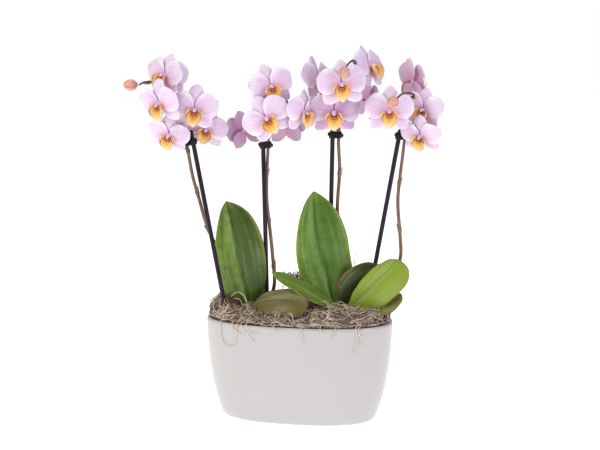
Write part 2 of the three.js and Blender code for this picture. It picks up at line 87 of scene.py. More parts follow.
world = bpy.data.worlds.new("world")
world.use_nodes = True
world.node_tree.nodes["Background"].inputs["Color"].default_value = (1, 1, 1, 1)
seen_straight = world.node_tree.nodes.new("ShaderNodeLightPath").outputs["Is Camera Ray"]
brightness = world.node_tree.nodes.new("ShaderNodeMapRange")
world.node_tree.links.new(seen_straight, brightness.inputs["Value"])
brightness.inputs["To Min"].default_value = WORLD_LIGHT
brightness.inputs["To Max"].default_value = WORLD_SEEN
strength = world.node_tree.nodes["Background"].inputs["Strength"]
world.node_tree.links.new(brightness.outputs[0], strength)
bpy.context.scene.world = world


def new_paint(name, color, roughness, **sockets):
    """A Principled material with its constants set on the shader's own sockets."""
    material = bpy.data.materials.new(name)
    material.use_nodes = True
    shader = material.node_tree.nodes["Principled BSDF"]
    shader.inputs["Base Color"].default_value = (*color, 1)
    shader.inputs["Roughness"].default_value = roughness
    for socket, value in sockets.items():
        shader.inputs[socket.replace("_", " ")].default_value = value
    return material


def node(material, kind, inputs=(), **settings):
    """A shader node with its settings, its constants and the links into it."""
    tree = material.node_tree
    made = tree.nodes.new("ShaderNode" + kind)
    for key, value in settings.items():
        setattr(made, key, value)
    for key, value in dict(inputs).items():
        if isinstance(value, bpy.types.NodeSocket):
            tree.links.new(value, made.inputs[key])
        else:
            made.inputs[key].default_value = value
    return made


def grain(material, scale, stretch=(1, 1, 1), detail=3.0, roughness=0.5):
    """Noise over the piece, so many bumps to a metre, drawn out along an axis where stretched."""
    place = node(material, "TexCoord").outputs["Object"]
    moved = node(material, "Mapping", {"Vector": place, "Scale": stretch}).outputs[0]
    inputs = {"Vector": moved, "Scale": scale, "Detail": detail, "Roughness": roughness}
    return node(material, "TexNoise", inputs).outputs["Fac"]


def ramp(material, factor, *stops):
    """A colour ramp: each stop is a place and a colour."""
    made = node(material, "ValToRGB", {"Fac": factor})
    bar = made.color_ramp.elements
    while len(bar) < len(stops):
        bar.new(0.5)
    for element, (place, color) in zip(bar, stops):
        element.position = place
        element.color = (*color, 1)
    return made.outputs["Color"]


def feed(material, socket, value):
    """Links a node's output to a socket of the material's shader."""
    shader = material.node_tree.nodes["Principled BSDF"]
    material.node_tree.links.new(value, shader.inputs[socket])


FLOOR_SIZE = 8
FLOOR_GLOW = 0.72
floor_paint = new_paint("floor_paint", (0.93, 0.93, 0.93), 0.7, Emission_Color=(1, 1, 1, 1),
                        Emission_Strength=FLOOR_GLOW)
pale = ramp(floor_paint, grain(floor_paint, 3.0), (0.3, (0.92, 0.92, 0.92)), (0.7, (0.94, 0.94, 0.94)))
feed(floor_paint, "Base Color", pale)
bpy.ops.mesh.primitive_plane_add(size=FLOOR_SIZE)
floor = bpy.context.object
floor.name = "floor"
floor.data.materials.append(floor_paint)

# The planter: an oval slip-cast pot in white ceramic with a satin glaze. Its walls swell up from a
# smaller flat foot with a shallow recess under it, and its lip is rounded.
PLANTER_LENGTH = 0.204
PLANTER_DEPTH = 0.104
PLANTER_HEIGHT = 0.110
PLANTER_WALL = 0.005
PLANTER_FLOOR = 0.006
BASE_SHARE = 0.8
OVAL_POWER = 2.4
SIDE_ROUNDNESS = 0.62
FOOT_ROUND = 0.003
FOOT_RING = 0.007
FOOT_RECESS = 0.0012
RING_POINTS = 160


def level(material, factor, low, high, out_low=0.0, out_high=1.0):
    """A factor's span from low to high stretched to another span, and held at its ends."""
    inputs = {"Value": factor, 1: low, 2: high, 3: out_low, 4: out_high}
    return node(material, "MapRange", inputs, clamp=True).outputs[0]


def blend(material, factor, a, b):
    """Two colours mixed by a factor."""
    made = node(material, "Mix", data_type="RGBA", blend_type="MIX")
    for key, value in ((0, factor), (6, a), (7, b)):
        if isinstance(value, bpy.types.NodeSocket):
            material.node_tree.links.new(value, made.inputs[key])
        elif key:
            made.inputs[key].default_value = (*value, 1)
        else:
            made.inputs[key].default_value = value
    return made.outputs[2]


def sums(material, how, a, b):
    """One step of arithmetic on values or sockets."""
    return node(material, "Math", {0: a, 1: b}, operation=how, use_clamp=False).outputs[0]


def bumps(material, height, depth, strength=1.0):
    """Fine relief in the surface, up to a depth in metres."""
    made = node(material, "Bump", {"Height": height, "Distance": depth, "Strength": strength})
    feed(material, "Normal", made.outputs["Normal"])


def make_piece(name, points, faces, materials, nodes=(), kinds=None, tints=None):
    """A mesh that rides on the body, takes its finish from a slot and stands for CAD nodes."""
    mesh = bpy.data.meshes.new(name)
    mesh.from_pydata(np.asarray(points, float).tolist(), [], faces)
    for material in materials:
        mesh.materials.append(material)
    mesh.polygons.foreach_set("use_smooth", [True] * len(mesh.polygons))
    if kinds is not None:
        mesh.polygons.foreach_set("material_index", kinds)
    if tints is not None:
        layer = mesh.color_attributes.new("tint", "FLOAT_COLOR", "POINT")
        layer.data.foreach_set("color", np.asarray(tints, float).ravel())
    mesh.update()
    piece = bpy.data.objects.new(name, mesh)
    bpy.context.scene.collection.objects.link(piece)
    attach(piece, "root")
    if nodes:
        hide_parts(*nodes)
    return piece


def swell(height):
    """How wide the planter is at a height, as a share of its width at the rim."""
    share = min(1, max(0, height) / PLANTER_HEIGHT)
    return BASE_SHARE + (1 - BASE_SHARE) * math.sin(math.pi / 2 * share) ** SIDE_ROUNDNESS


def oval(height, inset, scale=1.0):
    """One level ring of the planter, set in from its outside."""
    turn = np.linspace(0, 2 * math.pi, RING_POINTS, endpoint=False)
    across, deep = np.cos(turn), np.sin(turn)
    half_length = (PLANTER_LENGTH / 2 * swell(height) - inset) * scale
    half_depth = (PLANTER_DEPTH / 2 * swell(height) - inset) * scale
    x = half_length * np.sign(across) * np.abs(across) ** (2 / OVAL_POWER)
    y = half_depth * np.sign(deep) * np.abs(deep) ** (2 / OVAL_POWER)
    return np.stack([x, y, np.full(RING_POINTS, height)], 1)


def wrap(rings, caps=True):
    """A skin over rings of as many points each, with a face over each end."""
    count = len(rings[0])
    points = np.concatenate(rings)
    faces = []
    for i in range(len(rings) - 1):
        low, high = i * count, (i + 1) * count
        for k in range(count):
            after = (k + 1) % count
            faces.append((low + k, low + after, high + after, high + k))
    if caps:
        faces.append(tuple(range(count - 1, -1, -1)))
        faces.append(tuple(range(len(points) - count, len(points))))
    return points, faces


def planter_rings():
    """The planter's whole skin as rings: under the foot, up outside, over the lip and down inside."""
    inside_foot = [oval(FOOT_RECESS, FOOT_RING + 0.001), oval(FOOT_RECESS, FOOT_RING)]
    foot = [oval(0, FOOT_RING - 0.001)]
    for turn in np.linspace(0, math.pi / 2, 6):
        height = FOOT_ROUND * (1 - math.cos(turn))
        foot.append(oval(height, FOOT_ROUND * (1 - math.sin(turn)) * 0.8))
    lip_middle = PLANTER_WALL / 2
    top = PLANTER_HEIGHT - lip_middle
    side = [oval(height, 0) for height in np.linspace(FOOT_ROUND * 1.5, top, 34)]
    lip = []
    for turn in np.linspace(0, math.pi, 15)[1:-1]:
        height = top + lip_middle * math.sin(turn)
        lip.append(oval(height, lip_middle * (1 - math.cos(turn))))
    inner = [oval(height, PLANTER_WALL) for height in np.linspace(top, PLANTER_FLOOR + 0.004, 18)]
    bottom = [oval(PLANTER_FLOOR + 0.001, PLANTER_WALL + 0.0015)]
    bottom.append(oval(PLANTER_FLOOR, PLANTER_WALL + 0.005))
    return inside_foot + foot + side + lip + inner + bottom


glaze = new_paint("planter_glaze", (0.515, 0.50, 0.50), 0.3, Coat_Weight=0.2, Coat_Roughness=0.12,
                  Specular_IOR_Level=0.3)
cloud = grain(glaze, 22, detail=4)
speck = grain(glaze, 900, detail=2)
body = ramp(glaze, cloud, (0.3, (0.51, 0.495, 0.495)), (0.7, (0.52, 0.505, 0.505)))
speckled = blend(glaze, level(glaze, speck, 0.72, 0.78, 0, 0.5), body, (0.50, 0.48, 0.46))
feed(glaze, "Base Color", speckled)
feed(glaze, "Roughness", level(glaze, grain(glaze, 12), 0.2, 0.8, 0.30, 0.34))
bumps(glaze, sums(glaze, "ADD", grain(glaze, 45, detail=2), speck), 0.00003, 0.4)
points, faces = wrap(planter_rings())
make_piece("planter_ceramic", points, faces, [glaze], ["planter"])

# The grow pots: two thin vacuum-formed plastic pots with drain holes, dark brown and smooth. They
# stand loose on the planter's floor, so the CAD solids stay and only take their finish here.
pot_plastic = new_paint("grow_pot_plastic", (0.06, 0.04, 0.03), 0.4, Specular_IOR_Level=0.4)
cast = grain(pot_plastic, 120)
browns = ramp(pot_plastic, cast, (0.3, (0.05, 0.035, 0.028)), (0.7, (0.085, 0.06, 0.045)))
feed(pot_plastic, "Base Color", browns)
feed(pot_plastic, "Roughness", level(pot_plastic, grain(pot_plastic, 240), 0.3, 0.7, 0.34, 0.5))
for side in ("left", "right"):
    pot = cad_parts["grow_pot_" + side]
    pot.data.materials.clear()
    pot.data.materials.append(pot_plastic)

# The bark: coarse chips of pine bark, dry and flaky, poured loose into each grow pot around the
# roots. The chips are broad and flat with broken edges.
BARK_CHIPS = 300
CHIP_LENGTH = 0.0085
CHIP_CORNERS = 9
CHIP_RINGS = ((-0.5, 0.35), (-0.3, 0.9), (0.1, 1.0), (0.42, 0.8), (0.5, 0.3))


def chip(draw, middle):
    """One flat broken chip: a squashed ball with a rough outline."""
    turn = np.linspace(0, 2 * math.pi, CHIP_CORNERS, endpoint=False)
    wide = CHIP_LENGTH * draw.uniform(0.6, 1.2)
    flat = wide * draw.uniform(0.25, 0.5)
    edge = np.array([draw.uniform(0.65, 1.15) for _ in turn])
    rings = []
    for rise, share in CHIP_RINGS:
        reach = edge * wide * share
        level_with = np.full(CHIP_CORNERS, rise * flat * 2)
        ring = np.stack([np.cos(turn) * reach, np.sin(turn) * reach * 0.7, level_with], 1)
        breaks = [[draw.uniform(-1, 1) * wide * 0.06 for _ in range(3)] for _ in turn]
        rings.append(ring + np.array(breaks))
    axis = [draw.uniform(-1, 1) for _ in range(3)]
    turned = np.array(Quaternion(axis, draw.uniform(0, 3)).to_matrix())
    return wrap([ring @ turned.T + middle for ring in rings])


def gather(parts):
    """Several lots of points and faces as one."""
    points, faces, start = [], [], 0
    for some, ring in parts:
        points.append(some)
        faces.extend(tuple(k + start for k in face) for face in ring)
        start += len(some)
    return np.concatenate(points), faces


bark_paint = new_paint("bark_chips", (0.16, 0.085, 0.045), 0.9)
flake = grain(bark_paint, 260, stretch=(1, 1, 3), detail=6, roughness=0.7)
feed(bark_paint, "Base Color", ramp(bark_paint, flake, (0.25, (0.05, 0.025, 0.015)),
                                    (0.5, (0.17, 0.09, 0.05)), (0.75, (0.30, 0.19, 0.11))))
bumps(bark_paint, flake, 0.0012, 0.9)
for side in ("left", "right"):
    low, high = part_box("bark_" + side)
    centre_x, centre_y = (low.x + high.x) / 2, (low.y + high.y) / 2
    draw = random.Random(31)
    chips = []
    while len(chips) < BARK_CHIPS:
        rise = draw.random() ** 0.6
        reach = (high.x - low.x) / 2 * (0.76 + 0.24 * rise) - CHIP_LENGTH * 1.1
        turn, out = draw.uniform(0, 2 * math.pi), reach * math.sqrt(draw.random())
        height = low.z + CHIP_LENGTH + (high.z - low.z - 1.6 * CHIP_LENGTH) * rise
        middle = (centre_x + out * math.cos(turn), centre_y + out * math.sin(turn), height)
        chips.append(chip(draw, np.array(middle)))
    points, faces = gather(chips)
    piece = make_piece("bark_chips_" + side, points, faces, [bark_paint], ["bark_" + side])
    piece.data.polygons.foreach_set("use_smooth", [False] * len(piece.data.polygons))

# The plant bodies: the short green crown that the leaves sheathe, and the fleshy roots that leave
# it, silver-green where they are dry, down into the bark and a few over the moss.
PLANT_OFFSET = 0.0482
# The side of each crown and its place in millimetres. Both are within a hundredth of a millimetre of
# the plant's middle, where the CAD's crowns stand a few millimetres off it.
CROWN_PLACES = {"left": (-1, -0.004, -0.005), "right": (1, 0.0, 0.003)}
ROOT_RADIUS = 0.0021
CROWN_RADIUS = 0.0052


def plant_point(side, x, y, z):
    """A point of a plant in millimetres from the rim's level above its own middle."""
    return np.array([side * PLANT_OFFSET + x / 1000, y / 1000, PLANTER_HEIGHT + z / 1000])


def smooth_line(points, count):
    """Evenly spaced points on the smooth line through the given ones."""
    given = [np.asarray(p, float) for p in points]
    ends = [2 * given[0] - given[1]] + given + [2 * given[-1] - given[-2]]
    line = []
    for a, b, c, d in zip(ends, ends[1:], ends[2:], ends[3:]):
        steps = [max(1e-9, np.linalg.norm(q - p) ** 0.5) for p, q in ((a, b), (b, c), (c, d))]
        t1, t2, t3 = steps[0], steps[0] + steps[1], sum(steps)
        for t in np.linspace(t1, t2, 24, endpoint=False):
            p1 = a * (t1 - t) / t1 + b * t / t1
            p2 = b * (t2 - t) / (t2 - t1) + c * (t - t1) / (t2 - t1)
            p3 = c * (t3 - t) / (t3 - t2) + d * (t - t2) / (t3 - t2)
            q1 = p1 * (t2 - t) / t2 + p2 * t / t2
            q2 = p2 * (t3 - t) / (t3 - t1) + p3 * (t - t1) / (t3 - t1)
            line.append(q1 * (t2 - t) / (t2 - t1) + q2 * (t - t1) / (t2 - t1))
    line = np.array(line + [given[-1]])
    run = np.concatenate([[0], np.cumsum(np.linalg.norm(np.diff(line, axis=0), axis=1))])
    want = np.linspace(0, run[-1], count)
    return np.stack([np.interp(want, run, line[:, k]) for k in range(3)], 1)


def tube(line, radii, sides):
    """A round tube along a line, with its own radius at each point and a face over each end."""
    radii = np.broadcast_to(radii, len(line))
    along = np.gradient(line, axis=0)
    along /= np.linalg.norm(along, axis=1)[:, None]
    start = np.array([0, 1.0, 0]) if abs(along[0][1]) < 0.9 else np.array([1.0, 0, 0])
    right = np.cross(along[0], start)
    turn = np.linspace(0, 2 * math.pi, sides, endpoint=False)
    rings = []
    for centre, way, radius in zip(line, along, radii):
        right = right - way * np.dot(right, way)
        right /= np.linalg.norm(right)
        up = np.cross(way, right)
        circle = np.outer(np.cos(turn), right) + np.outer(np.sin(turn), up)
        rings.append(centre + radius * circle)
    return wrap(rings)


root_paint = new_paint("plant_body", (0.42, 0.46, 0.30), 0.55)
dry = grain(root_paint, 90, detail=5)
feed(root_paint, "Base Color", ramp(root_paint, dry, (0.3, (0.22, 0.30, 0.10)),
                                    (0.5, (0.44, 0.47, 0.33)), (0.72, (0.62, 0.60, 0.50))))
bumps(root_paint, grain(root_paint, 700), 0.0003, 0.5)
# How far each root reaches from the crown, and the level of its tip, in millimetres. Each aerial root
# is its line and its radius.
ROOT_TIPS = {
    "left": [(20, -20, -68), (-18, 22, -68), (-26, -8, -68), (-6, -30, -68), (12, 26, -60), (28, 4, -58)],
    "right": [(16, -18, -68), (-10, -26, -68), (-28, 4, -68), (2, 26, -68), (24, 8, -60), (-16, 22, -58)],
}
AERIAL_ROOTS = {
    "left": [([(-6, -6, 4), (-6, -14, 12), (-2, -22, 13), (2, -28, 7), (3, -31, 2)], 1.1)],
    "right": [([(-6, -4, 6), (-3, -7, 17), (3, -12, 17), (9, -17, 12), (15, -22, 4)], 1.2),
              ([(4, -6, 6), (10, -10, 17), (12, -16, 14), (16, -23, 4)], 1.1),
              ([(-2, -5, 6), (-9, -10, 14), (-14, -17, 10), (-16, -23, 3)], 1.0)],
}
for name, (side, x, y) in CROWN_PLACES.items():
    crown_line = smooth_line([plant_point(side, x, y, z) for z in (-50, -30, -10, 0, 9)], 24)
    share = np.linspace(0, 1, 24)
    parts = [tube(crown_line, CROWN_RADIUS * np.sin(np.pi * (0.1 + 0.8 * share)) ** 0.4, 18)]
    for reach_x, reach_y, depth in ROOT_TIPS[name]:
        route = [plant_point(side, x + reach_x * share_out, y + reach_y * share_out, level_down)
                 for share_out, level_down in ((0, -20), (0.5, -28), (0.85, -46), (1, depth))]
        parts.append(tube(smooth_line(route, 26), ROOT_RADIUS * np.linspace(1, 0.75, 26), 10))
    for root, thick in AERIAL_ROOTS[name]:
        line = smooth_line([plant_point(side, *p) for p in root], 40)
        parts.append(tube(line, thick / 1000 * np.linspace(1, 0.8, 40), 10))
    points, faces = gather(parts)
    make_piece("crown_and_roots_" + name, points, faces, [root_paint],
               ["plant_body_" + name])

# The moss: curly dried strands, grey-beige and wiry, heaped over the pots up to the rim and higher
# at the left end. It lies loose, so strands stand out of it and a few hang over the front.
MOSS_STRANDS = 3400
STRAND_POINTS = 22
LOOSE_STRANDS = 90
WIRY_STRANDS = 46
WISP_RADIUS = 0.00042
LOOSE_RADIUS = 0.00048
WIRY_RADIUS = 0.00032
FRESH = 0.2
OLD = 0.9


def moss_height(x, y):
    """How far the heap rises above the rim, highest at the left end and at the right plant."""
    left = 0.011 * math.exp(-(((x + 0.088) / 0.02) ** 2) - ((y - 0.006) / 0.05) ** 2)
    dish = 0.004 * (x / 0.1) ** 2
    edge = 1 - abs(x / 0.102) ** OVAL_POWER - abs(y / 0.052) ** OVAL_POWER
    ripple = 0.0015 * math.sin(x * 160) * math.cos(y * 210)
    right = 0.006 * math.exp(-(((x - 0.036) / 0.022) ** 2) - ((y + 0.012) / 0.024) ** 2)
    return 0.0005 + (0.0038 + left + right + dish * 0.3 + ripple) * min(1, max(0, edge * 3.2))


def inside_rim(x, y, inset):
    """Whether a point lies inside the rim, by at least so much."""
    long, deep = PLANTER_LENGTH / 2 - inset, PLANTER_DEPTH / 2 - inset
    return abs(x / long) ** OVAL_POWER + abs(y / deep) ** OVAL_POWER < 1


def strand(draw, start, heading, length, radius, lift):
    """One strand: it curls this way and that and rises and falls with the heap."""
    bend = draw.choice((-1, 1)) * draw.uniform(30, 260)
    wobble = draw.uniform(40, 200)
    phase = draw.uniform(0, 6.3)
    line = []
    x, y = start
    step = length / STRAND_POINTS
    for k in range(STRAND_POINTS):
        run = k * step
        if inside_rim(x, y, 0.0022):
            rise = lift * math.sin(math.pi * k / STRAND_POINTS)
            ripple = 0.0009 * math.sin(run * 420 + phase)
            line.append((x, y, PLANTER_HEIGHT + moss_height(x, y) + rise + ripple))
        heading += step * (bend + wobble * math.sin(run * 260 + phase))
        x += step * math.cos(heading)
        y += step * math.sin(heading)
    if len(line) < 6:
        return None
    return tube(np.array(line), radius, 4)


def same_tint(part, *tint):
    """One colour for every point of a part."""
    return np.tile([*tint, 1], (len(part[0]), 1))


def tint_parts(material):
    """The red, green and blue of the piece's own tint: across, along and side on a blade."""
    tint = node(material, "Attribute", attribute_name="tint").outputs["Color"]
    return node(material, "SeparateColor", {"Color": tint}).outputs[:3]


moss_paint = new_paint("moss_strands", (0.42, 0.34, 0.27), 0.85)
patch = grain(moss_paint, 55, detail=3)
fine = grain(moss_paint, 900, detail=2)
straw = ramp(moss_paint, patch, (0.3, (0.45, 0.34, 0.26)), (0.5, (0.70, 0.57, 0.44)),
             (0.7, (0.88, 0.77, 0.60)))
age = tint_parts(moss_paint)[0]
straw = blend(moss_paint, level(moss_paint, age, 0.35, 0.7, 0, 0.9), straw, (0.14, 0.10, 0.075))
straw = blend(moss_paint, level(moss_paint, fine, 0.4, 0.8, 0, 0.4), straw, (0.24, 0.17, 0.14))
feed(moss_paint, "Base Color", straw)
under_paint = new_paint("moss_shade", (0.10, 0.07, 0.055), 0.95)
tangle = grain(under_paint, 420, detail=5)
feed(under_paint, "Base Color", ramp(under_paint, tangle, (0.35, (0.06, 0.045, 0.035)),
                                     (0.7, (0.36, 0.28, 0.22))))
bumps(under_paint, tangle, 0.002, 1.0)
rings = [oval(0.089, PLANTER_WALL + 0.001)]
for scale in (1.0, 0.93, 0.8, 0.62, 0.4, 0.2, 0.04):
    ring = oval(PLANTER_HEIGHT - 0.0015, PLANTER_WALL + 0.001, scale=scale)
    drop = 0.0035 if scale == 1.0 else 0.0025
    for point in ring:
        point[2] = PLANTER_HEIGHT + moss_height(point[0], point[1]) - drop
    rings.append(ring)
points, faces = wrap(rings)
make_piece("moss_heap", points, faces, [under_paint], ["moss"])
draw = random.Random(7)
for name, low, high in (("left", -0.1, -0.045), ("middle_left", -0.045, 0.0),
                        ("middle_right", 0.0, 0.045), ("right", 0.045, 0.1)):
    parts, ages = [], []
    while len(parts) < MOSS_STRANDS // 4:
        x, y = draw.uniform(low, high), draw.uniform(-0.05, 0.05)
        if not inside_rim(x, y, 0.0045):
            continue
        lift = draw.uniform(0, 1) ** 3 * 0.012
        heading, length = draw.uniform(0, 6.3), draw.uniform(0.02, 0.055)
        made = strand(draw, (x, y), heading, length, draw.uniform(0.00026, 0.00056), lift)
        if made:
            parts.append(made)
            ages.append(same_tint(made, draw.random(), 0, 0))
    points, faces = gather(parts)
    make_piece("moss_strands_" + name, points, faces, [moss_paint], tints=np.concatenate(ages))


def front_of_rim(x, drop):
    """A point just clear of the planter's front, from its place and drop in millimetres."""
    shape = swell(PLANTER_HEIGHT - drop / 1000)
    share = min(1, abs(x / 1000) / (PLANTER_LENGTH / 2 * shape))
    deep = PLANTER_DEPTH / 2 * shape * (1 - share ** OVAL_POWER) ** (1 / OVAL_POWER)
    return np.array([x / 1000, -deep - 0.0011, PLANTER_HEIGHT - drop / 1000])


# Wisps over the front of the rim, as places along the planter and how far below the rim.
OVER_THE_RIM = [
    [(-80, 0), (-78, 19), (-73, 24), (-63, 23)],
    [(-66, 0), (-64, 5), (-55, 11)],
    [(-60, 0), (-61, 10), (-63, 24)],
    [(-56, 0), (-48, 9), (-39, 18)],
    [(-50, 0), (-45, 7), (-37, 6)],
    [(10, 0), (11, 7), (13, 17)],
    [(46, 0), (44, 6), (42, 12)],
    [(67, 0), (68, 11), (64, 26)],
    [(67, 0), (70, 6), (76, 9)],
    [(70, 1), (72, 10), (73, 18)],
    [(-20, 0), (-16, 3), (-11, 1)],
    [(30, 0), (33, 3), (38, 1)],
]
parts = []
for route in OVER_THE_RIM:
    outside = [front_of_rim(x, drop) for x, drop in route]
    first = outside[0]
    inner = [first + np.array([0.004, 0.016, 0.003]), first + np.array([0.001, 0.004, 0.0028])]
    over = [first + np.array([0, 0.0006, 0.0014])]
    line = smooth_line(inner + over + outside[1:], 40)
    parts.append(tube(line, WISP_RADIUS * np.linspace(1.1, 0.7, 40), 6))
ages = [same_tint(part, FRESH, 0, 0) for part in parts]
for _ in range(LOOSE_STRANDS):
    x, y = draw.uniform(-0.085, 0.085), draw.uniform(-0.036, -0.006)
    heading, length = draw.uniform(0, 6.3), draw.uniform(0.03, 0.05)
    made = strand(draw, (x, y), heading, length, LOOSE_RADIUS, draw.uniform(0.004, 0.011))
    if made:
        parts.append(made)
        ages.append(same_tint(made, FRESH, 0, 0))
# A thin wiry tangle that stands up behind, between the two plants.
for _ in range(WIRY_STRANDS):
    x, y = draw.uniform(-0.018, 0.010), draw.uniform(0.010, 0.020)
    route = [np.array([x, y, PLANTER_HEIGHT + 0.004])]
    top_lifts = [draw.uniform(0.034, 0.050), draw.uniform(0.030, 0.048), draw.uniform(0.026, 0.044)]
    for lift in (0.016, 0.030, 0.041, *top_lifts):
        sway_x, sway_y = draw.uniform(-0.009, 0.009), draw.uniform(-0.003, 0.003)
        route.append(np.array([x + sway_x, y + sway_y, PLANTER_HEIGHT + lift]))
    parts.append(tube(smooth_line(route, 40), WIRY_RADIUS, 5))
    ages.append(same_tint(parts[-1], OLD, 0, 0))
# Arches that spring out of the heap: two beside the left stick, and two fine hairs behind the right
# leaves. Each is its line, up from the rim's level, and its radius.
ARCHES = [
    ([(-78, -19, 8), (-75, -20, 18), (-70, -22, 27), (-64, -24, 31), (-57, -26, 28), (-52, -27, 14),
      (-51, -27, 5)], 0.5),
    ([(-80, -16, 6), (-77, -18, 15), (-71, -20, 22), (-62, -22, 22), (-58, -24, 12), (-58, -24, 5)], 0.4),
    ([(66, 24, 10), (71, 24, 36), (73, 24, 54), (71, 24, 66), (71, 24, 76), (77, 24, 84)], 0.28),
    ([(56, 24, 10), (60, 24, 34), (59, 24, 47), (57, 24, 58), (58, 24, 67), (61, 24, 72)], 0.28),
]
for route, radius in ARCHES:
    line = smooth_line([np.array([x, y, z + PLANTER_HEIGHT * 1000]) / 1000 for x, y, z in route], 50)
    parts.append(tube(line, radius / 1000, 6))
    ages.append(same_tint(parts[-1], FRESH, 0, 0))
points, faces = gather(parts)
make_piece("moss_loose_strands", points, faces, [moss_paint], tints=np.concatenate(ages))

# The leaves: thick, waxy and folded along the midrib, with fine parallel veins. They grow in two
# ranks from the crown. The low ones are duller and browner, and some have reddish edges.
POINTED = [(0, 0.3), (0.08, 0.58), (0.18, 0.87), (0.36, 1.04), (0.56, 1.02), (0.75, 0.83), (0.88, 0.56),
           (0.95, 0.31), (1, 0.03)]
BLUNT = [(0, 0.25), (0.08, 0.45), (0.2, 0.74), (0.4, 0.97), (0.6, 1.02), (0.78, 0.97), (0.9, 0.76),
         (0.96, 0.52), (1, 0.06)]
LEAF_THICKNESS = 0.0017
# Each leaf's rib in millimetres from its plant's middle at the rim's level, its width, the way its
# blade lies across and how deep it folds. Some have an outline, a belly or a midrib of their own.
LEAVES = {
    "left_tall": dict(
        side=-1, rib=[(-7, -3, 12), (-13, -4, 40), (-20, -7, 76), (-26, -6, 103), (-33, -1, 126)],
        width=53, across=(0.96, 0.1, 0.24), fold=0.12, skew=0.24),
    "left_front": dict(
        side=-1, rib=[(-1, -20, 14), (17, -27, 20), (38, -33, 23), (63, -36, 22.5)],
        width=33, across=(0.1, -0.6, -0.75), fold=0.02, shape=BLUNT, bulge=0.03, midrib=-0.25),
    "left_old": dict(
        side=-1, rib=[(-9, -14, 11), (-16, -22, 18), (-27, -30, 25)],
        width=17, across=(0.3, -0.8, -0.5), fold=0.1),
    "left_back": dict(
        side=-1, rib=[(-3, 10, 9), (-12, 22, 24), (-24, 36, 30), (-34, 50, 24)],
        width=36, across=(0.9, 0.3, 0.1), fold=0.14),
    "right_tall": dict(
        side=1, rib=[(-10, 7, 11), (-19, 11, 47), (-27, 5, 75), (-33, 5, 108), (-35, 10, 138)],
        width=56, across=(0.98, 0.16, 0.12), fold=0.12, skew=0.3),
    "right_reaching_left": dict(
        side=1, rib=[(-6, -5, 12), (-27, -13, 28), (-51, -17, 42), (-76, -20, 54)],
        width=29, across=(0.35, -0.8, -0.45), fold=0.12),
    "right_behind": dict(
        side=1, rib=[(2, 4, 14), (10, 3, 32), (24, 3, 46), (41, 8, 58)],
        width=38, across=(0.75, 0.1, -0.6), fold=0.12),
    "right_bright": dict(
        side=1, rib=[(9, -4, 12), (30, -8, 30), (43, -9, 43), (54, -8, 54), (61, -5, 69)],
        width=38, across=(0.7, 0.05, -0.7), fold=0.1, shape=BLUNT, bulge=0.08, midrib=-0.32),
    "right_low": dict(
        side=1, rib=[(11, 1, 12), (30, -1, 15), (47, 1, 18), (63, 4, 29)],
        width=28, across=(0.2, -0.8, -0.55), fold=0.1, shape=BLUNT, bulge=0.05),
}
# How much painted shade darkens the right half of each leaf, then the colours of its top, its
# veins and shade, its margin and its underside.
LEAF_COLORS = {
    "left_tall": (0.72, (0.20, 0.34, 0.035), (0.022, 0.045, 0.003), (0.28, 0.33, 0.03), (0.12, 0.24, 0.04)),
    "left_front": (0, (0.17, 0.14, 0.035), (0.085, 0.075, 0.014), (0.17, 0.065, 0.022),
                   (0.17, 0.14, 0.035)),
    "left_old": (0, (0.17, 0.085, 0.035), (0.07, 0.035, 0.012), (0.22, 0.10, 0.045), (0.12, 0.07, 0.03)),
    "left_back": (0, (0.10, 0.21, 0.02), (0.03, 0.08, 0.006), (0.17, 0.27, 0.015), (0.12, 0.24, 0.04)),
    "right_tall": (0.4, (0.15, 0.29, 0.030), (0.035, 0.09, 0.005), (0.28, 0.40, 0.03), (0.12, 0.24, 0.04)),
    "right_reaching_left": (0.3, (0.23, 0.28, 0.035), (0.09, 0.17, 0.015), (0.28, 0.38, 0.05),
                            (0.20, 0.30, 0.05)),
    "right_behind": (0, (0.05, 0.07, 0.006), (0.018, 0.03, 0.004), (0.20, 0.06, 0.018),
                     (0.045, 0.06, 0.004)),
    "right_bright": (0, (0.24, 0.34, 0.03), (0.19, 0.28, 0.018), (0.30, 0.20, 0.035), (0.20, 0.31, 0.04)),
    "right_low": (0, (0.24, 0.27, 0.06), (0.10, 0.085, 0.025), (0.21, 0.09, 0.035), (0.24, 0.27, 0.06)),
}


def streaks(material, across, along, stretch, detail):
    """Streaks that run along a blade, so many across it and so many along it."""
    flat = node(material, "CombineXYZ", {"X": across, "Y": along}).outputs[0]
    moved = node(material, "Mapping", {"Vector": flat, "Scale": (*stretch, 1)}).outputs[0]
    inputs = {"Vector": moved, "Scale": 1.0, "Detail": detail}
    return node(material, "TexNoise", inputs).outputs["Fac"]


def from_midrib(material, across):
    """How far a point lies from the midrib: 0 on it and 0.5 at the margin."""
    return sums(material, "ABSOLUTE", sums(material, "SUBTRACT", across, 0.5), 0)


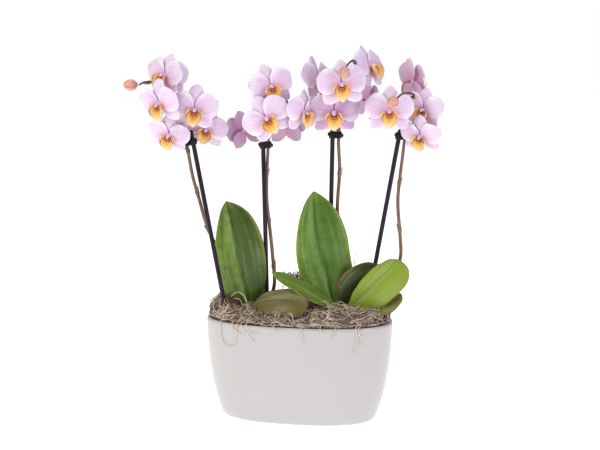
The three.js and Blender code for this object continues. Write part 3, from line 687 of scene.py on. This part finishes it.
def leaf_paint(name, painted_shade_half, top, deep, margin, under):
    """Waxy leaf skin: parallel veins, cloudy green, a margin of its own colour, painted shade over the
    right half and along the midrib, and painted sheen streaks.
    """
    paint = new_paint("leaf_" + name, top, 0.36, Coat_Weight=0.08, Coat_Roughness=0.2,
                      Specular_IOR_Level=0.32)
    across, along, below = tint_parts(paint)
    vein = streaks(paint, across, along, (58, 1.2), 2.0)
    band = streaks(paint, across, along, (5, 0.9), 1.0)
    skin = blend(paint, level(paint, vein, 0.36, 0.70, 0, 0.5), top, deep)
    skin = blend(paint, level(paint, band, 0.46, 0.66, 0, 0.55), skin, deep)
    # Painted shade: the right half of the blade is darkened by so much.
    skin = blend(paint, level(paint, across, 0.47, 0.56, 0, painted_shade_half), skin, deep)
    # Painted sheen: pale glossy streaks along the blade where the veins and bands allow.
    painted_sheen = blend(paint, level(paint, vein, 0.40, 0.56, 0.7, 0), skin, (0.30, 0.38, 0.22))
    skin = blend(paint, level(paint, band, 0.40, 0.50, 0.6, 0), skin, painted_sheen)
    skin = blend(paint, below, skin, blend(paint, level(paint, vein, 0.38, 0.66), under, deep))
    skin = blend(paint, level(paint, grain(paint, 130, detail=4), 0.42, 0.75, 0, 0.5), skin, deep)
    edge = from_midrib(paint, across)
    skin = blend(paint, level(paint, edge, 0.42, 0.5, 0, 0.8), skin, margin)
    skin = blend(paint, level(paint, along, 0.9, 1, 0, 0.35), skin, margin)
    # Painted shade: the blade darkens towards the crease of its midrib.
    feed(paint, "Base Color", blend(paint, level(paint, edge, 0.0, 0.03, 0.7, 0), skin, deep))
    bumps(paint, vein, 0.0005, 0.4)
    return paint


def leaf_grid(leaf, rows=64, columns=37):
    """The leaf's middle surface, from its foot to its tip and from its left margin to its right."""
    spine = smooth_line([plant_point(leaf["side"], *p) for p in leaf["rib"]], rows)
    along = np.gradient(spine, axis=0)
    along /= np.linalg.norm(along, axis=1)[:, None]
    keys = smooth_line([(a, b, 0) for a, b in leaf.get("shape", POINTED)], 400)
    share = np.linspace(0, 1, rows)
    spread = np.interp(share, keys[:, 0], keys[:, 1])
    right = np.asarray(leaf["across"], float) - along * (along @ np.asarray(leaf["across"]))[:, None]
    right /= np.linalg.norm(right, axis=1)[:, None]
    up = -np.cross(along, right)
    half = leaf["width"] / 2000 * spread
    across = np.linspace(-1, 1, columns)
    across = np.sign(across) * np.abs(across) ** 0.92
    size = np.abs(across)
    belly = leaf.get("bulge", 0.15) * np.sin(np.pi * size ** 0.75)
    bulge = leaf["fold"] * size + belly - 0.06 * size ** 5
    dip = -0.0006 * np.exp(-((across / 0.045) ** 2))
    wave = 0.0006 * np.sin(share * 17)[:, None] * (across ** 3)[None, :]
    rise = half[:, None] * bulge[None, :] + dip[None, :] * spread[:, None] + wave
    near_tip = np.clip((share - 0.35) / 0.5, 0, 1)
    lean = leaf.get("skew", 0) * near_tip[:, None] * np.sign(across)[None, :]
    place = across + leaf.get("midrib", 0) * (1 - across ** 2)
    reach = half[:, None] * place[None, :] * (1 + lean)
    grid = spine[:, None] + right[:, None] * reach[:, :, None] + up[:, None] * rise[:, :, None]
    return grid


def sheet(grid, thickness, edge=0.25):
    """A grid of points as a closed blade, thinner towards its margins. The under side is first."""
    rows, columns = grid.shape[:2]
    du, dv = np.gradient(grid, axis=0), np.gradient(grid, axis=1)
    normal = np.cross(du, dv)
    normal /= np.maximum(np.linalg.norm(normal, axis=2), 1e-12)[:, :, None]
    v = np.abs(np.linspace(-1, 1, columns))[None, :]
    u = np.linspace(0, 1, rows)[:, None]
    side_taper = np.minimum(1, np.sqrt(np.clip(1 - v ** 2, 0, 1)) + edge)
    taper = side_taper * np.minimum(1, (1 - u) * 12 + edge)
    offset = normal * (thickness / 2 * taper)[:, :, None]
    points = np.concatenate([(grid + offset).reshape(-1, 3), (grid - offset).reshape(-1, 3)])
    back = rows * columns
    faces = []
    for i in range(rows - 1):
        for j in range(columns - 1):
            a, b = i * columns + j, i * columns + j + 1
            c, d = a + columns, b + columns
            faces.append((a, c, d, b))
            faces.append((back + a, back + b, back + d, back + c))
    rim = list(range(columns)) + [i * columns + columns - 1 for i in range(1, rows)]
    rim += [(rows - 1) * columns + j for j in range(columns - 2, -1, -1)]
    rim += [i * columns for i in range(rows - 2, 0, -1)]
    for a, b in zip(rim, rim[1:] + rim[:1]):
        faces.append((a, b, back + b, back + a))
    return points, faces


def blade_tints(rows, columns):
    """How far across and along each point of a sheet lies, and 1 on its under side."""
    v, u = np.meshgrid(np.linspace(0, 1, columns), np.linspace(0, 1, rows))
    under = np.stack([v, u, np.ones_like(u), np.ones_like(u)], 2).reshape(-1, 4)
    upper = under * [1, 1, 0, 1]
    return np.concatenate([under, upper])


for name, leaf in LEAVES.items():
    grid = leaf_grid(leaf)
    points, faces = sheet(grid, LEAF_THICKNESS)
    tints = blade_tints(*grid.shape[:2])
    make_piece("leaf_blade_" + name, points, faces, [leaf_paint(name, *LEAF_COLORS[name])],
               ["leaf_" + name], tints=tints)

# The support sticks: round dark sticks with a smooth coat, pushed down through the moss into the
# bark. Each one props up a flower spike.
STICK_RADIUS = 0.0024
STICK_DEPTH = 0.070
POT_FOOT_RADIUS = 0.0312
# Each spike with its stick's top, its clip's height and its stem's line, in millimetres from its
# plant's middle at the rim's level. Below them, where each stick's foot stands as shares of the pot.
SPIKES = {
    1: dict(side=-1, top=(-66, -26, 206), clip=193, stem=[
        (-12, 5, 11), (-27, 6, 41), (-44, 1, 74), (-53, -13, 104), (-59, -19, 131), (-65, -22, 155),
        (-70, -24, 186), (-72, -24, 199), (-75, -21, 212), (-80, -17, 226), (-88, -16, 238),
        (-97, -17, 247), (-104, -15, 252), (-111, -17, 255), (-116, -27, 256), (-119, -35, 254)]),
    2: dict(side=-1, top=(8, -3, 194), clip=189, stem=[
        (3, 3, 10), (10, 10, 15), (18, 9, 30), (17, 6, 68), (14, 5, 98), (11, 4, 128), (11, 3, 150),
        (13, 0, 184), (14, -1, 196), (22, 0, 208), (32, 2, 217), (36, 0, 228), (33, -3, 238),
        (28, -5, 245)]),
    3: dict(side=1, top=(-16, 19, 206), clip=199, stem=[
        (-3, 16, 9), (-8, 24, 38), (-10, 27, 72), (-11, 26, 121), (-9, 26, 160), (-10, 22, 192),
        (-9, 20, 208), (-3, 17, 224), (7, 15, 239), (12, 10, 254), (13, 3, 267), (11, -8, 278),
        (11, -20, 282), (8, -29, 281), (5, -33, 277)]),
    4: dict(side=1, top=(57, 20, 207), clip=199, stem=[
        (6, 9, 11), (25, 12, 27), (46, 13, 42), (56, 22, 55), (59, 28, 68), (58, 28, 88), (55, 26, 128),
        (57, 26, 155), (60, 24, 182), (62, 22, 206), (60, 14, 220), (61, 5, 232), (66, 0, 240),
        (73, -2, 245), (69, -8, 248), (62, -16, 248), (57, -20, 244)]),
}
STICK_FEET = {1: (-0.56, -0.53), 2: (0.25, 0.08), 3: (-0.42, 0.62), 4: (0.42, 0.75)}
STICK_END_ROUND = (0.0024, 0.0018, 0.0011, 0.0005, 0.0001)
pot_low, pot_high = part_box("grow_pot_right")
pot_offset = pot_low.x / 2 + pot_high.x / 2
pot_radius = (pot_high.x - pot_low.x) / 2
stick_foot_height = PLANTER_HEIGHT - STICK_DEPTH
up_the_pot = (stick_foot_height - pot_low.z) / (pot_high.z - pot_low.z)
radius_there = POT_FOOT_RADIUS + (pot_radius - POT_FOOT_RADIUS) * up_the_pot
stick_coat = new_paint("stick_coat", (0.012, 0.008, 0.012), 0.34, Specular_IOR_Level=0.14)
wood = grain(stick_coat, 500, stretch=(1, 1, 0.06), detail=3)
feed(stick_coat, "Base Color", ramp(stick_coat, wood, (0.3, (0.012, 0.007, 0.013)),
                                    (0.7, (0.034, 0.020, 0.034))))
bumps(stick_coat, wood, 0.00025, 0.5)
for number, spike in SPIKES.items():
    share_x, share_y = STICK_FEET[number]
    foot = np.array([spike["side"] * pot_offset + share_x * radius_there, share_y * radius_there,
                     stick_foot_height])
    top = plant_point(spike["side"], *spike["top"])
    spike["stick"] = (foot, top)
    way = (top - foot) / np.linalg.norm(top - foot)
    shaft = foot + (top - foot) * np.linspace(0, 1, 60)[:-1, None]
    rounded = top - way * np.array(STICK_END_ROUND)[:, None]
    line = np.concatenate([shaft, rounded])
    from_top = np.linalg.norm(line - top, axis=1)
    into_end = np.clip(1 - from_top / STICK_RADIUS, 0, 1)
    radii = STICK_RADIUS * np.sqrt(np.clip(1 - into_end ** 2, 0.01, 1))
    radii[:6] *= np.linspace(0.35, 1, 6)
    points, faces = tube(line, radii, 20)
    make_piece("stick_%d" % number, points, faces, [stick_coat], ["support_stick_%d" % number])

# The flower spikes: woody green-brown stems with a joint every few centimetres under a small dry
# bract. They arch over at the top, where each bloom and bud hangs on a short stalk.
STEM_RADIUS = 0.0020
STALK_RADIUS = 0.0012
BRACT_LENGTH = 0.007
BRACT_THICKNESS = 0.0005
# Each bloom's middle in millimetres from its plant's middle at the rim's level, the way it faces, its
# size, the point of the stem that its stalk leaves and, for one, a point that the stalk goes by.
BLOOMS = {
    "1_1": dict(at=(-91, -37, 264), turn=-32, nod=-8, roll=8, size=0.96, joint=11),
    "1_2": dict(at=(-92, -55, 236), turn=-26, nod=14, roll=-6, size=1, joint=10),
    "1_3": dict(at=(-87, -37, 201.5), turn=-8, nod=24, roll=10, size=0.9, joint=8),
    "1_4": dict(at=(-59, -39, 229), turn=12, nod=4, roll=6, size=1, joint=8),
    "1_5": dict(at=(-52, -14, 206), turn=6, nod=16, roll=16, size=0.9, joint=8, by=(-79, -9, 208)),
    "1_6": dict(at=(-97, 2, 262), turn=24, nod=-14, roll=8, size=0.86, joint=10),
    "2_1": dict(at=(20, -21, 253), turn=22, nod=-4, roll=-16, size=0.94, joint=13),
    "2_2": dict(at=(18, -33, 221), turn=9, nod=6, roll=-36, size=1.02, joint=10),
    "2_3": dict(at=(-15, 6, 203), turn=-138, nod=8, roll=14, size=0.88, joint=8),
    "2_4": dict(at=(31, 16, 209), turn=172, nod=0, roll=4, size=0.86, joint=10),
    "2_5": dict(at=(54, -17, 226), turn=54, nod=4, roll=0, size=0.92, joint=11),
    "3_1": dict(at=(-11, -8, 226), turn=8, nod=10, roll=0, size=1.04, joint=7),
    "3_2": dict(at=(-1, -25, 257), turn=10, nod=0, roll=-4, size=1, joint=9),
    "3_3": dict(at=(24, 14, 273), turn=68, nod=-24, roll=0, size=1, joint=9),
    "3_4": dict(at=(21, 27, 237), turn=128, nod=0, roll=-8, size=0.92, joint=8),
    "3_5": dict(at=(-33, 18, 258), turn=66, nod=-12, roll=0, size=1, joint=7),
    "4_1": dict(at=(48, -11, 229), turn=6, nod=5, roll=0, size=1, joint=10),
    "4_2": dict(at=(69, 33, 258), turn=126, nod=-12, roll=-6, size=1, joint=9),
    "4_3": dict(at=(82, 11, 229), turn=-24, nod=2, roll=10, size=0.9, joint=9),
    "4_4": dict(at=(80, 4, 202), turn=-20, nod=24, roll=4, size=0.9, joint=9),
}
COLUMN_BACK = 4.5


def facing(turn, nod, roll=0):
    """Columns: right, up and out of the face of a bloom."""
    yaw, dip, spin = (math.radians(a) for a in (turn, nod, -roll))
    out = np.array([math.sin(yaw) * math.cos(dip), -math.cos(yaw) * math.cos(dip), -math.sin(dip)])
    right = np.array([math.cos(yaw), math.sin(yaw), 0])
    up = np.cross(out, right)
    turned_right = right * math.cos(spin) + up * math.sin(spin)
    turned_up = up * math.cos(spin) - right * math.sin(spin)
    return np.stack([turned_right, turned_up, out], 1)


stem_paint = new_paint("stem_skin", (0.16, 0.10, 0.055), 0.45)
mottle = grain(stem_paint, 130, detail=5)
streak = grain(stem_paint, 900, stretch=(1, 1, 0.08), detail=2)
skin = ramp(stem_paint, mottle, (0.28, (0.085, 0.04, 0.03)), (0.5, (0.17, 0.095, 0.06)),
            (0.72, (0.20, 0.17, 0.075)))
skin = blend(stem_paint, level(stem_paint, streak, 0.4, 0.8, 0, 0.4), skin, (0.27, 0.17, 0.12))
spot = node(stem_paint, "TexCoord").outputs["Object"]
height = node(stem_paint, "SeparateXYZ", {0: spot}).outputs["Z"]
skin = blend(stem_paint, level(stem_paint, height, 0.29, 0.33, 0, 0.8), skin, (0.075, 0.028, 0.024))
feed(stem_paint, "Base Color", skin)
bumps(stem_paint, streak, 0.0002, 0.4)
stalk_paint = new_paint("stalk_skin", (0.33, 0.16, 0.20), 0.45)
feed(stalk_paint, "Base Color", ramp(stalk_paint, grain(stalk_paint, 150), (0.3, (0.26, 0.10, 0.13)),
                                     (0.7, (0.45, 0.27, 0.27))))
bract_paint = new_paint("bract_skin", (0.42, 0.22, 0.19), 0.6)
feed(bract_paint, "Base Color", ramp(bract_paint, grain(bract_paint, 500), (0.3, (0.26, 0.12, 0.10)),
                                     (0.7, (0.55, 0.33, 0.30))))
STEM_SKIN, STALK_SKIN, BRACT_SKIN = 0, 1, 2
for number, spike in SPIKES.items():
    side = spike["side"]
    line = smooth_line([plant_point(side, *p) for p in spike["stem"]], 170)
    share = np.linspace(0, 1, len(line))
    radii = STEM_RADIUS * (1.0 - 0.5 * share ** 3)
    run = np.concatenate([[0], np.cumsum(np.linalg.norm(np.diff(line, axis=0), axis=1))])
    joint_gap = 0.046 if number % 2 else 0.052
    joints = np.arange(0.045 + 0.004 * number, run[-1] - 0.015, joint_gap)
    for joint in joints:
        radii = radii + 0.0007 * np.exp(-(((run - joint) / 0.0022) ** 2))
    parts = [tube(line, radii, 14)]
    way = np.gradient(line, axis=0)
    way /= np.linalg.norm(way, axis=1)[:, None]
    for k, joint in enumerate(joints):
        i = int(np.searchsorted(run, joint))
        out = np.cross(way[i], [0.0, 1.0 if k % 2 else -1.0, 0.15])
        out /= np.linalg.norm(out)
        other = np.cross(way[i], out)
        bract = []
        for up in np.linspace(0, 1, 8):
            wide = (1 - up ** 1.6) * 1.15
            turn = np.linspace(-wide, wide, 9)
            centre = line[i] + way[i] * BRACT_LENGTH * up
            reach = STEM_RADIUS * 1.22 + 0.0009 * up ** 2
            bract.append(centre + reach * (np.outer(np.cos(turn), out) + np.outer(np.sin(turn), other)))
        parts.append(sheet(np.array(bract), BRACT_THICKNESS))
    stem_faces = len(parts[0][1])
    bract_faces = sum(len(f) for _, f in parts) - stem_faces
    for name, bloom in BLOOMS.items():
        if name[0] != str(number):
            continue
        out = facing(bloom["turn"], bloom["nod"])[:, 2]
        centre = plant_point(side, *bloom["at"])
        back = centre - out * (COLUMN_BACK * bloom["size"] + 0.1) / 1000
        lead = centre - out * (COLUMN_BACK * bloom["size"] + 8) / 1000
        bend = [plant_point(side, *bloom["by"])] if "by" in bloom else []
        start = plant_point(side, *spike["stem"][bloom["joint"]])
        route = smooth_line([start, *bend, lead, back], 26)
        parts.append(tube(route, STALK_RADIUS * (0.92 + 0.25 * np.linspace(0, 1, 26) ** 4), 10))
    points, faces = gather(parts)
    kinds = [STEM_SKIN] * stem_faces + [BRACT_SKIN] * bract_faces
    kinds += [STALK_SKIN] * (len(faces) - len(kinds))
    make_piece("flower_stem_%d" % number, points, faces, [stem_paint, stalk_paint, bract_paint],
               ["flower_spike_%d" % number], kinds=kinds)
    spike["line"] = line

# The clips: small black moulded clips, each with a sleeve round the stick and one round the stem, a
# spring barrel and two finger tabs. They snap on near the stick's top and tie the spike to it.
CLIP_LENGTH = 0.0072
BARREL_RADIUS = 0.0012
TAB_WIDTH = 0.0019
TAB_THICKNESS = 0.0015
SLEEVE_PROFILE = ((0.42, 0.0002), (0.5, 0.0005), (0.5, 0.0012), (0.44, 0.0016), (-0.44, 0.0016),
                  (-0.5, 0.0012), (-0.5, 0.0005), (-0.42, 0.0002))
clip_plastic = new_paint("clip_plastic", (0.012, 0.012, 0.013), 0.38, Specular_IOR_Level=0.14)
pebble = grain(clip_plastic, 1400, detail=2)
feed(clip_plastic, "Base Color", ramp(clip_plastic, pebble, (0.3, (0.010, 0.010, 0.011)),
                                      (0.7, (0.020, 0.019, 0.020))))
bumps(clip_plastic, pebble, 0.00008, 0.4)


def at_height(line, height):
    """The point of a rising line at a height."""
    return np.array([np.interp(height, line[:, 2], line[:, k]) for k in range(3)])


for number, spike in SPIKES.items():
    height = PLANTER_HEIGHT + spike["clip"] / 1000
    foot, top = spike["stick"]
    stick_at = foot + (top - foot) * (height - foot[2]) / (top[2] - foot[2])
    rising = spike["line"][: int(np.argmax(spike["line"][:, 2] > height + 0.006)) + 2]
    stem_at = at_height(rising, height)
    along = (top - foot) / np.linalg.norm(top - foot)
    side_way = stem_at - stick_at
    side_way -= along * np.dot(side_way, along)
    gap = np.linalg.norm(side_way)
    side_way /= gap
    front = np.cross(along, side_way)
    middle = (stick_at + stem_at) / 2
    parts = []
    turn = np.linspace(0, 2 * math.pi, 36, endpoint=False)
    circle = np.outer(np.cos(turn), side_way) + np.outer(np.sin(turn), front)
    for centre, hold in ((stick_at, STICK_RADIUS), (stem_at, STEM_RADIUS)):
        centre = middle + side_way * np.dot(centre - middle, side_way)
        sleeve = []
        for rise, reach in SLEEVE_PROFILE:
            sleeve.append(centre + circle * (hold + reach) + along * CLIP_LENGTH * rise)
        parts.append(wrap(sleeve + sleeve[:1], caps=False))
    for sign in (-1, 1):
        tab = []
        for reach in np.linspace(0, 1, 7):
            width = TAB_WIDTH * (1 - 0.3 * reach ** 2)
            start = middle + side_way * sign * (gap / 2 + 0.0032 + 0.0022 * reach)
            row = []
            for across in np.linspace(-1, 1, 9):
                up_stick = along * (across * width - 0.0012 * reach * sign)
                row.append(start + up_stick + front * 0.0005 * across ** 2)
            tab.append(row)
        parts.append(sheet(np.array(tab), TAB_THICKNESS, edge=0.4))
    barrel_line = middle - front * 0.0036 + np.outer(np.linspace(-0.42, 0.42, 14), along) * CLIP_LENGTH
    coils = BARREL_RADIUS + 0.0002 * np.cos(np.arange(14) * math.pi)
    parts.append(tube(barrel_line, coils, 16))
    points, faces = gather(parts)
    make_piece("clip_%d" % number, points, faces, [clip_plastic], ["stem_clip_%d" % number])

# The blooms: three sepals and two broad petals, thin and velvety, pale lilac with a pink heart and
# mauve backs, round a waxy orange lip with two raised side lobes and a short pale column.
SEPAL_THICKNESS = 0.55
PETAL_THICKNESS = 0.5
LIP_THICKNESS = 0.9
LOBE_THICKNESS = 0.7
TEPAL_SKIN, LIP_SKIN, COLUMN_SKIN = 0, 1, 2
COLUMN_BALLS = (((0, 0, 0.5), (2.8, 2.8, 4.6)), ((0, 0.2, 4.4), (1.9, 1.9, 3.0)),
                ((0, -0.3, 6.6), (1.5, 1.3, 1.4)))


def tepal(draw, length, width, angle, peak, blunt, lift, arch, cup, curl, wave, rows=18, columns=15):
    """One sepal or petal as a grid: it points at a clock angle and bows out and back."""
    u = 0.5 - 0.5 * np.cos(np.linspace(0.12, math.pi, rows))
    u = (u - u[0]) / (u[-1] - u[0])
    outline = np.maximum(np.sin(math.pi * np.clip(u, 0, 1) ** peak), 0) ** blunt
    outline = np.maximum(outline, np.where(u < 0.5, 0.14, 0.015))
    v = np.linspace(-1, 1, columns)
    along = 1.2 + (length - 1.2) * u[:, None] * (1 - 0.035 * v[None, :] ** 2)
    across = width / 2 * outline[:, None] * v[None, :]
    phase = draw.uniform(0, 6.3)
    z = lift + arch * np.sin(math.pi * u[:, None]) - curl * u[:, None] ** 3
    z = z + cup * v[None, :] ** 2 * outline[:, None]
    ruffle = np.sin(u[:, None] * 7 + phase + v[None, :] * 2)
    z = z + wave * ruffle * np.abs(v[None, :]) ** 2 * u[:, None]
    z = z - 0.35 * np.exp(-((v[None, :] / 0.12) ** 2)) * (1 - u[:, None])
    spin = math.radians(angle)
    x = along * math.sin(spin) + across * math.cos(spin)
    y = along * math.cos(spin) - across * math.sin(spin)
    return np.stack([x, y, np.broadcast_to(z, x.shape)], 2)


def lip_grid(rows=20, columns=17):
    """The lip's middle lobe: a scoop that drops forward, spreads wide and ends in a short point."""
    u = np.linspace(0, 1, rows)
    v = np.linspace(-1, 1, columns)
    keys = smooth_line([(0, 3.0, 0), (0.25, 5.6, 0), (0.5, 7.4, 0), (0.7, 7.0, 0), (0.87, 4.4, 0),
                        (1, 1.2, 0)], 100)
    half = np.interp(u, keys[:, 0], keys[:, 1])
    spine = smooth_line([(0, -1.5, 1.5), (0, -4.8, 4.6), (0, -9, 6.6), (0, -13.0, 7.6), (0, -17.5, 6.4)],
                        rows)
    x = half[:, None] * v[None, :]
    y = spine[:, 1][:, None] + 2.2 * v[None, :] ** 2 * np.sin(math.pi * u)[:, None]
    z = spine[:, 2][:, None] + (4.6 * (1 - u) + 0.6)[:, None] * v[None, :] ** 2
    z = z + 0.6 * np.exp(-((v[None, :] / 0.14) ** 2)) * np.sin(math.pi * u)[:, None]
    return np.stack([x, np.broadcast_to(y, x.shape), z], 2)


def side_lobe(sign, rows=15, columns=13):
    """A side lobe of the lip: an ear that stands up beside the column and rolls outwards."""
    u = np.linspace(0, 1, rows)
    v = np.linspace(-1, 1, columns)
    spine = smooth_line([(1.6 * sign, -4.0, 1.6), (4.6 * sign, -4.6, 4.6), (7.6 * sign, -4.6, 7.6),
                         (9.8 * sign, -3.4, 9.0)], rows)
    half = 6.6 * np.maximum(np.sin(math.pi * np.clip(u, 0, 1) ** 1.5), 0) ** 0.5
    half = np.maximum(half, np.where(u < 0.5, 2.4, 0.1))
    x = spine[:, 0][:, None] - sign * 1.4 * v[None, :] ** 2 * u[:, None]
    y = spine[:, 1][:, None] + half[:, None] * v[None, :]
    z = spine[:, 2][:, None] - half[:, None] * v[None, :] * 0.2 + 1.8 * v[None, :] ** 2 * u[:, None]
    return np.stack([np.broadcast_to(x, y.shape), y, z], 2)[:, :: int(sign)]


def bloom_parts(draw):
    """The grids of one bloom in millimetres, each with its kind of skin and its thickness."""
    def near(value, spread):
        return value + draw.uniform(-spread, spread)
    made = []
    for angle in (0, 134, -134):
        sepal = tepal(draw, length=near(26.3, 0.8), width=near(17.5, 0.8), angle=near(angle, 5), peak=1.12,
                      blunt=0.5, lift=-1.4, arch=1.4, cup=-1.8, curl=near(2.4, 2.2), wave=1.1)
        made.append((sepal, TEPAL_SKIN, SEPAL_THICKNESS))
    for angle in (70, -70):
        petal = tepal(draw, length=near(27.3, 0.6), width=near(29.0, 1.0), angle=near(angle, 4), peak=1.22,
                      blunt=0.48, lift=1.0, arch=2.6, cup=-1.8, curl=near(1.8, 2.2), wave=1.9, rows=22,
                      columns=19)
        made.append((petal, TEPAL_SKIN, PETAL_THICKNESS))
    made.append((lip_grid(), LIP_SKIN, LIP_THICKNESS))
    for sign in (1, -1):
        made.append((side_lobe(sign), LIP_SKIN, LOBE_THICKNESS))
    return made


def ball(centre, radii, rows=10, columns=14):
    """A closed rounded body with its own half size along each axis."""
    rise = np.linspace(-1, 1, rows) * math.pi / 2 * 0.985
    turn = np.linspace(0, 2 * math.pi, columns, endpoint=False)
    rings = []
    for angle in rise:
        wide, deep = radii[0] * math.cos(angle), radii[1] * math.cos(angle)
        level_with = np.full(columns, math.sin(angle) * radii[2])
        rings.append(centre + np.stack([np.cos(turn) * wide, np.sin(turn) * deep, level_with], 1))
    return wrap(rings)


def petal_paint(name, heart, middle, tip, margin, line, back_heart, back_tip):
    """Thin velvety skin: a coloured heart, fine branching veins and a paler margin."""
    paint = new_paint(name, middle, 0.55, Sheen_Weight=0.1, Sheen_Roughness=0.4, Specular_IOR_Level=0.3)
    across, along, behind = tint_parts(paint)
    vein = streaks(paint, across, along, (11, 0.9), 2.5)
    front = ramp(paint, along, (0.05, heart), (0.3, middle), (0.75, tip))
    edge = from_midrib(paint, across)
    front = blend(paint, level(paint, edge, 0.26, 0.48, 0, 0.9), front, margin)
    front = blend(paint, level(paint, vein, 0.50, 0.68, 0, 0.5), front, line)
    front = blend(paint, level(paint, grain(paint, 80), 0.45, 0.72, 0, 0.45), front, line)
    back = ramp(paint, along, (0.0, back_heart), (0.8, back_tip))
    feed(paint, "Base Color", blend(paint, behind, front, back))
    bumps(paint, vein, 0.0003, 0.3)
    return paint


pale_petal = petal_paint(
    "petal_pale", heart=(0.70, 0.30, 0.56), middle=(0.75, 0.56, 0.75), tip=(0.78, 0.68, 0.83),
    margin=(0.87, 0.87, 0.91), line=(0.68, 0.42, 0.68), back_heart=(0.60, 0.25, 0.44),
    back_tip=(0.72, 0.56, 0.72))
# Painted shade: a darker copy of the petal skin for the four blooms that hang in shade.
painted_shade_petal = petal_paint(
    "petal_painted_shade", heart=(0.50, 0.14, 0.36), middle=(0.56, 0.34, 0.54), tip=(0.64, 0.48, 0.66),
    margin=(0.76, 0.69, 0.80), line=(0.44, 0.20, 0.42), back_heart=(0.54, 0.20, 0.40),
    back_tip=(0.63, 0.48, 0.64))
PAINTED_SHADE_BLOOMS = ("2_3", "2_4", "3_1", "3_4")
lip_paint = new_paint("lip_skin", (0.80, 0.40, 0.10), 0.4, Coat_Weight=0.1, Coat_Roughness=0.3,
                      Subsurface_Weight=0.1, Subsurface_Scale=0.002)
lip_across, lip_along = tint_parts(lip_paint)[:2]
blaze = ramp(lip_paint, lip_along, (0.0, (0.22, 0.035, 0.006)), (0.25, (0.60, 0.20, 0.02)),
             (0.5, (0.88, 0.52, 0.10)), (0.75, (0.92, 0.62, 0.24)), (1.0, (0.93, 0.74, 0.58)))
lip_edge = from_midrib(lip_paint, lip_across)
blaze = blend(lip_paint, level(lip_paint, lip_edge, 0.34, 0.5, 0, 0.8), blaze, (0.90, 0.52, 0.36))
stripe = streaks(lip_paint, lip_across, lip_along, (11, 1.6), 2.0)
blaze = blend(lip_paint, level(lip_paint, stripe, 0.5, 0.66, 0, 0.65), blaze, (0.62, 0.20, 0.025))
feed(lip_paint, "Base Color", blaze)
column_paint = new_paint("column_skin", (0.84, 0.66, 0.76), 0.4, Subsurface_Weight=0.1,
                         Subsurface_Scale=0.002)
feed(column_paint, "Base Color", ramp(column_paint, grain(column_paint, 400), (0.35, (0.74, 0.42, 0.62)),
                                      (0.65, (0.88, 0.72, 0.84))))
for number, (name, bloom) in enumerate(BLOOMS.items()):
    draw = random.Random(100 + number)
    side = SPIKES[int(name[0])]["side"]
    turn = facing(bloom["turn"], bloom["nod"], bloom["roll"])
    parts, kinds, tints = [], [], []
    for grid, kind, thickness in bloom_parts(draw):
        parts.append(sheet(grid, thickness))
        kinds += [kind] * len(parts[-1][1])
        tints.append(blade_tints(*grid.shape[:2]))
    for centre, radii in COLUMN_BALLS:
        parts.append(ball(centre, radii))
        kinds += [COLUMN_SKIN] * len(parts[-1][1])
        tints.append(same_tint(parts[-1], 0.5, 0.5, 0))
    for sign in (-1, 1):
        parts.append(ball((1.3 * sign, -4.0, 6.8), (1.2, 1.6, 1.4), 8, 10))
        kinds += [LIP_SKIN] * len(parts[-1][1])
        tints.append(same_tint(parts[-1], 0.5, 0.15, 0))
    points, faces = gather(parts)
    petals = painted_shade_petal if name in PAINTED_SHADE_BLOOMS else pale_petal
    points = plant_point(side, *bloom["at"]) + points * bloom["size"] / 1000 @ turn.T
    make_piece("bloom_open_" + name, points, faces, [petals, lip_paint, column_paint],
               ["bloom_" + name], kinds=kinds, tints=np.concatenate(tints))

# The buds: still closed, each a plump egg of folded sepals with dark creases where their edges
# meet, a dull salmon colour, on the very end of a spike.
BUDS = {
    1: dict(turn=-84, nod=2, length=16, width=12.6),
    3: dict(turn=-20, nod=50, length=13.5, width=12.6),
    4: dict(turn=-30, nod=26, length=15, width=12.6),
}
BUD_SHAPE = [(0, 0.02), (0.03, 0.2), (0.1, 0.46), (0.26, 0.84), (0.5, 1), (0.74, 0.84), (0.9, 0.52),
             (0.98, 0.2), (1, 0.02)]
BUD_SIDES = 48
BUD_NECK = 1.4
bud_paint = new_paint("bud_skin", (0.60, 0.30, 0.20), 0.42, Subsurface_Weight=0.08, Subsurface_Scale=0.003)
ridge, bud_along = tint_parts(bud_paint)[:2]
flesh = ramp(bud_paint, bud_along, (0.0, (0.50, 0.17, 0.13)), (0.45, (0.68, 0.32, 0.26)),
             (1.0, (0.62, 0.36, 0.24)))
flesh = blend(bud_paint, level(bud_paint, ridge, 0.0, 0.35, 0.85, 0), flesh, (0.22, 0.06, 0.05))
freckle = level(bud_paint, grain(bud_paint, 350), 0.4, 0.8, 0, 0.4)
feed(bud_paint, "Base Color", blend(bud_paint, freckle, flesh, (0.74, 0.46, 0.36)))
bumps(bud_paint, grain(bud_paint, 500), 0.0002, 0.4)
for number, bud in BUDS.items():
    turn = facing(bud["turn"], bud["nod"])
    keys = smooth_line([(a, b, 0) for a, b in BUD_SHAPE], 400)
    around = np.linspace(0, 2 * math.pi, BUD_SIDES, endpoint=False)
    crease = np.abs(np.sin(around * 1.5 + 0.5))
    rings, tints = [], []
    for share in 0.5 - 0.5 * np.cos(np.linspace(0, math.pi, 26)):
        width = bud["width"] * np.interp(share, keys[:, 0], keys[:, 1])
        radius = width / 2 * (0.9 + 0.1 * crease ** 0.5)
        out = np.full(BUD_SIDES, BUD_NECK + bud["length"] * share)
        rings.append(np.stack([np.cos(around) * radius, np.sin(around) * radius, out], 1))
        whole = np.ones(BUD_SIDES)
        tints.append(np.stack([crease, whole * share, whole * 0, whole], 1))
    points, faces = wrap(rings)
    tip = plant_point(SPIKES[number]["side"], *SPIKES[number]["stem"][-1])
    make_piece("bud_closed_%d" % number, tip + points / 1000 @ turn.T, faces, [bud_paint],
               ["bud_%d" % number], tints=np.concatenate(tints))
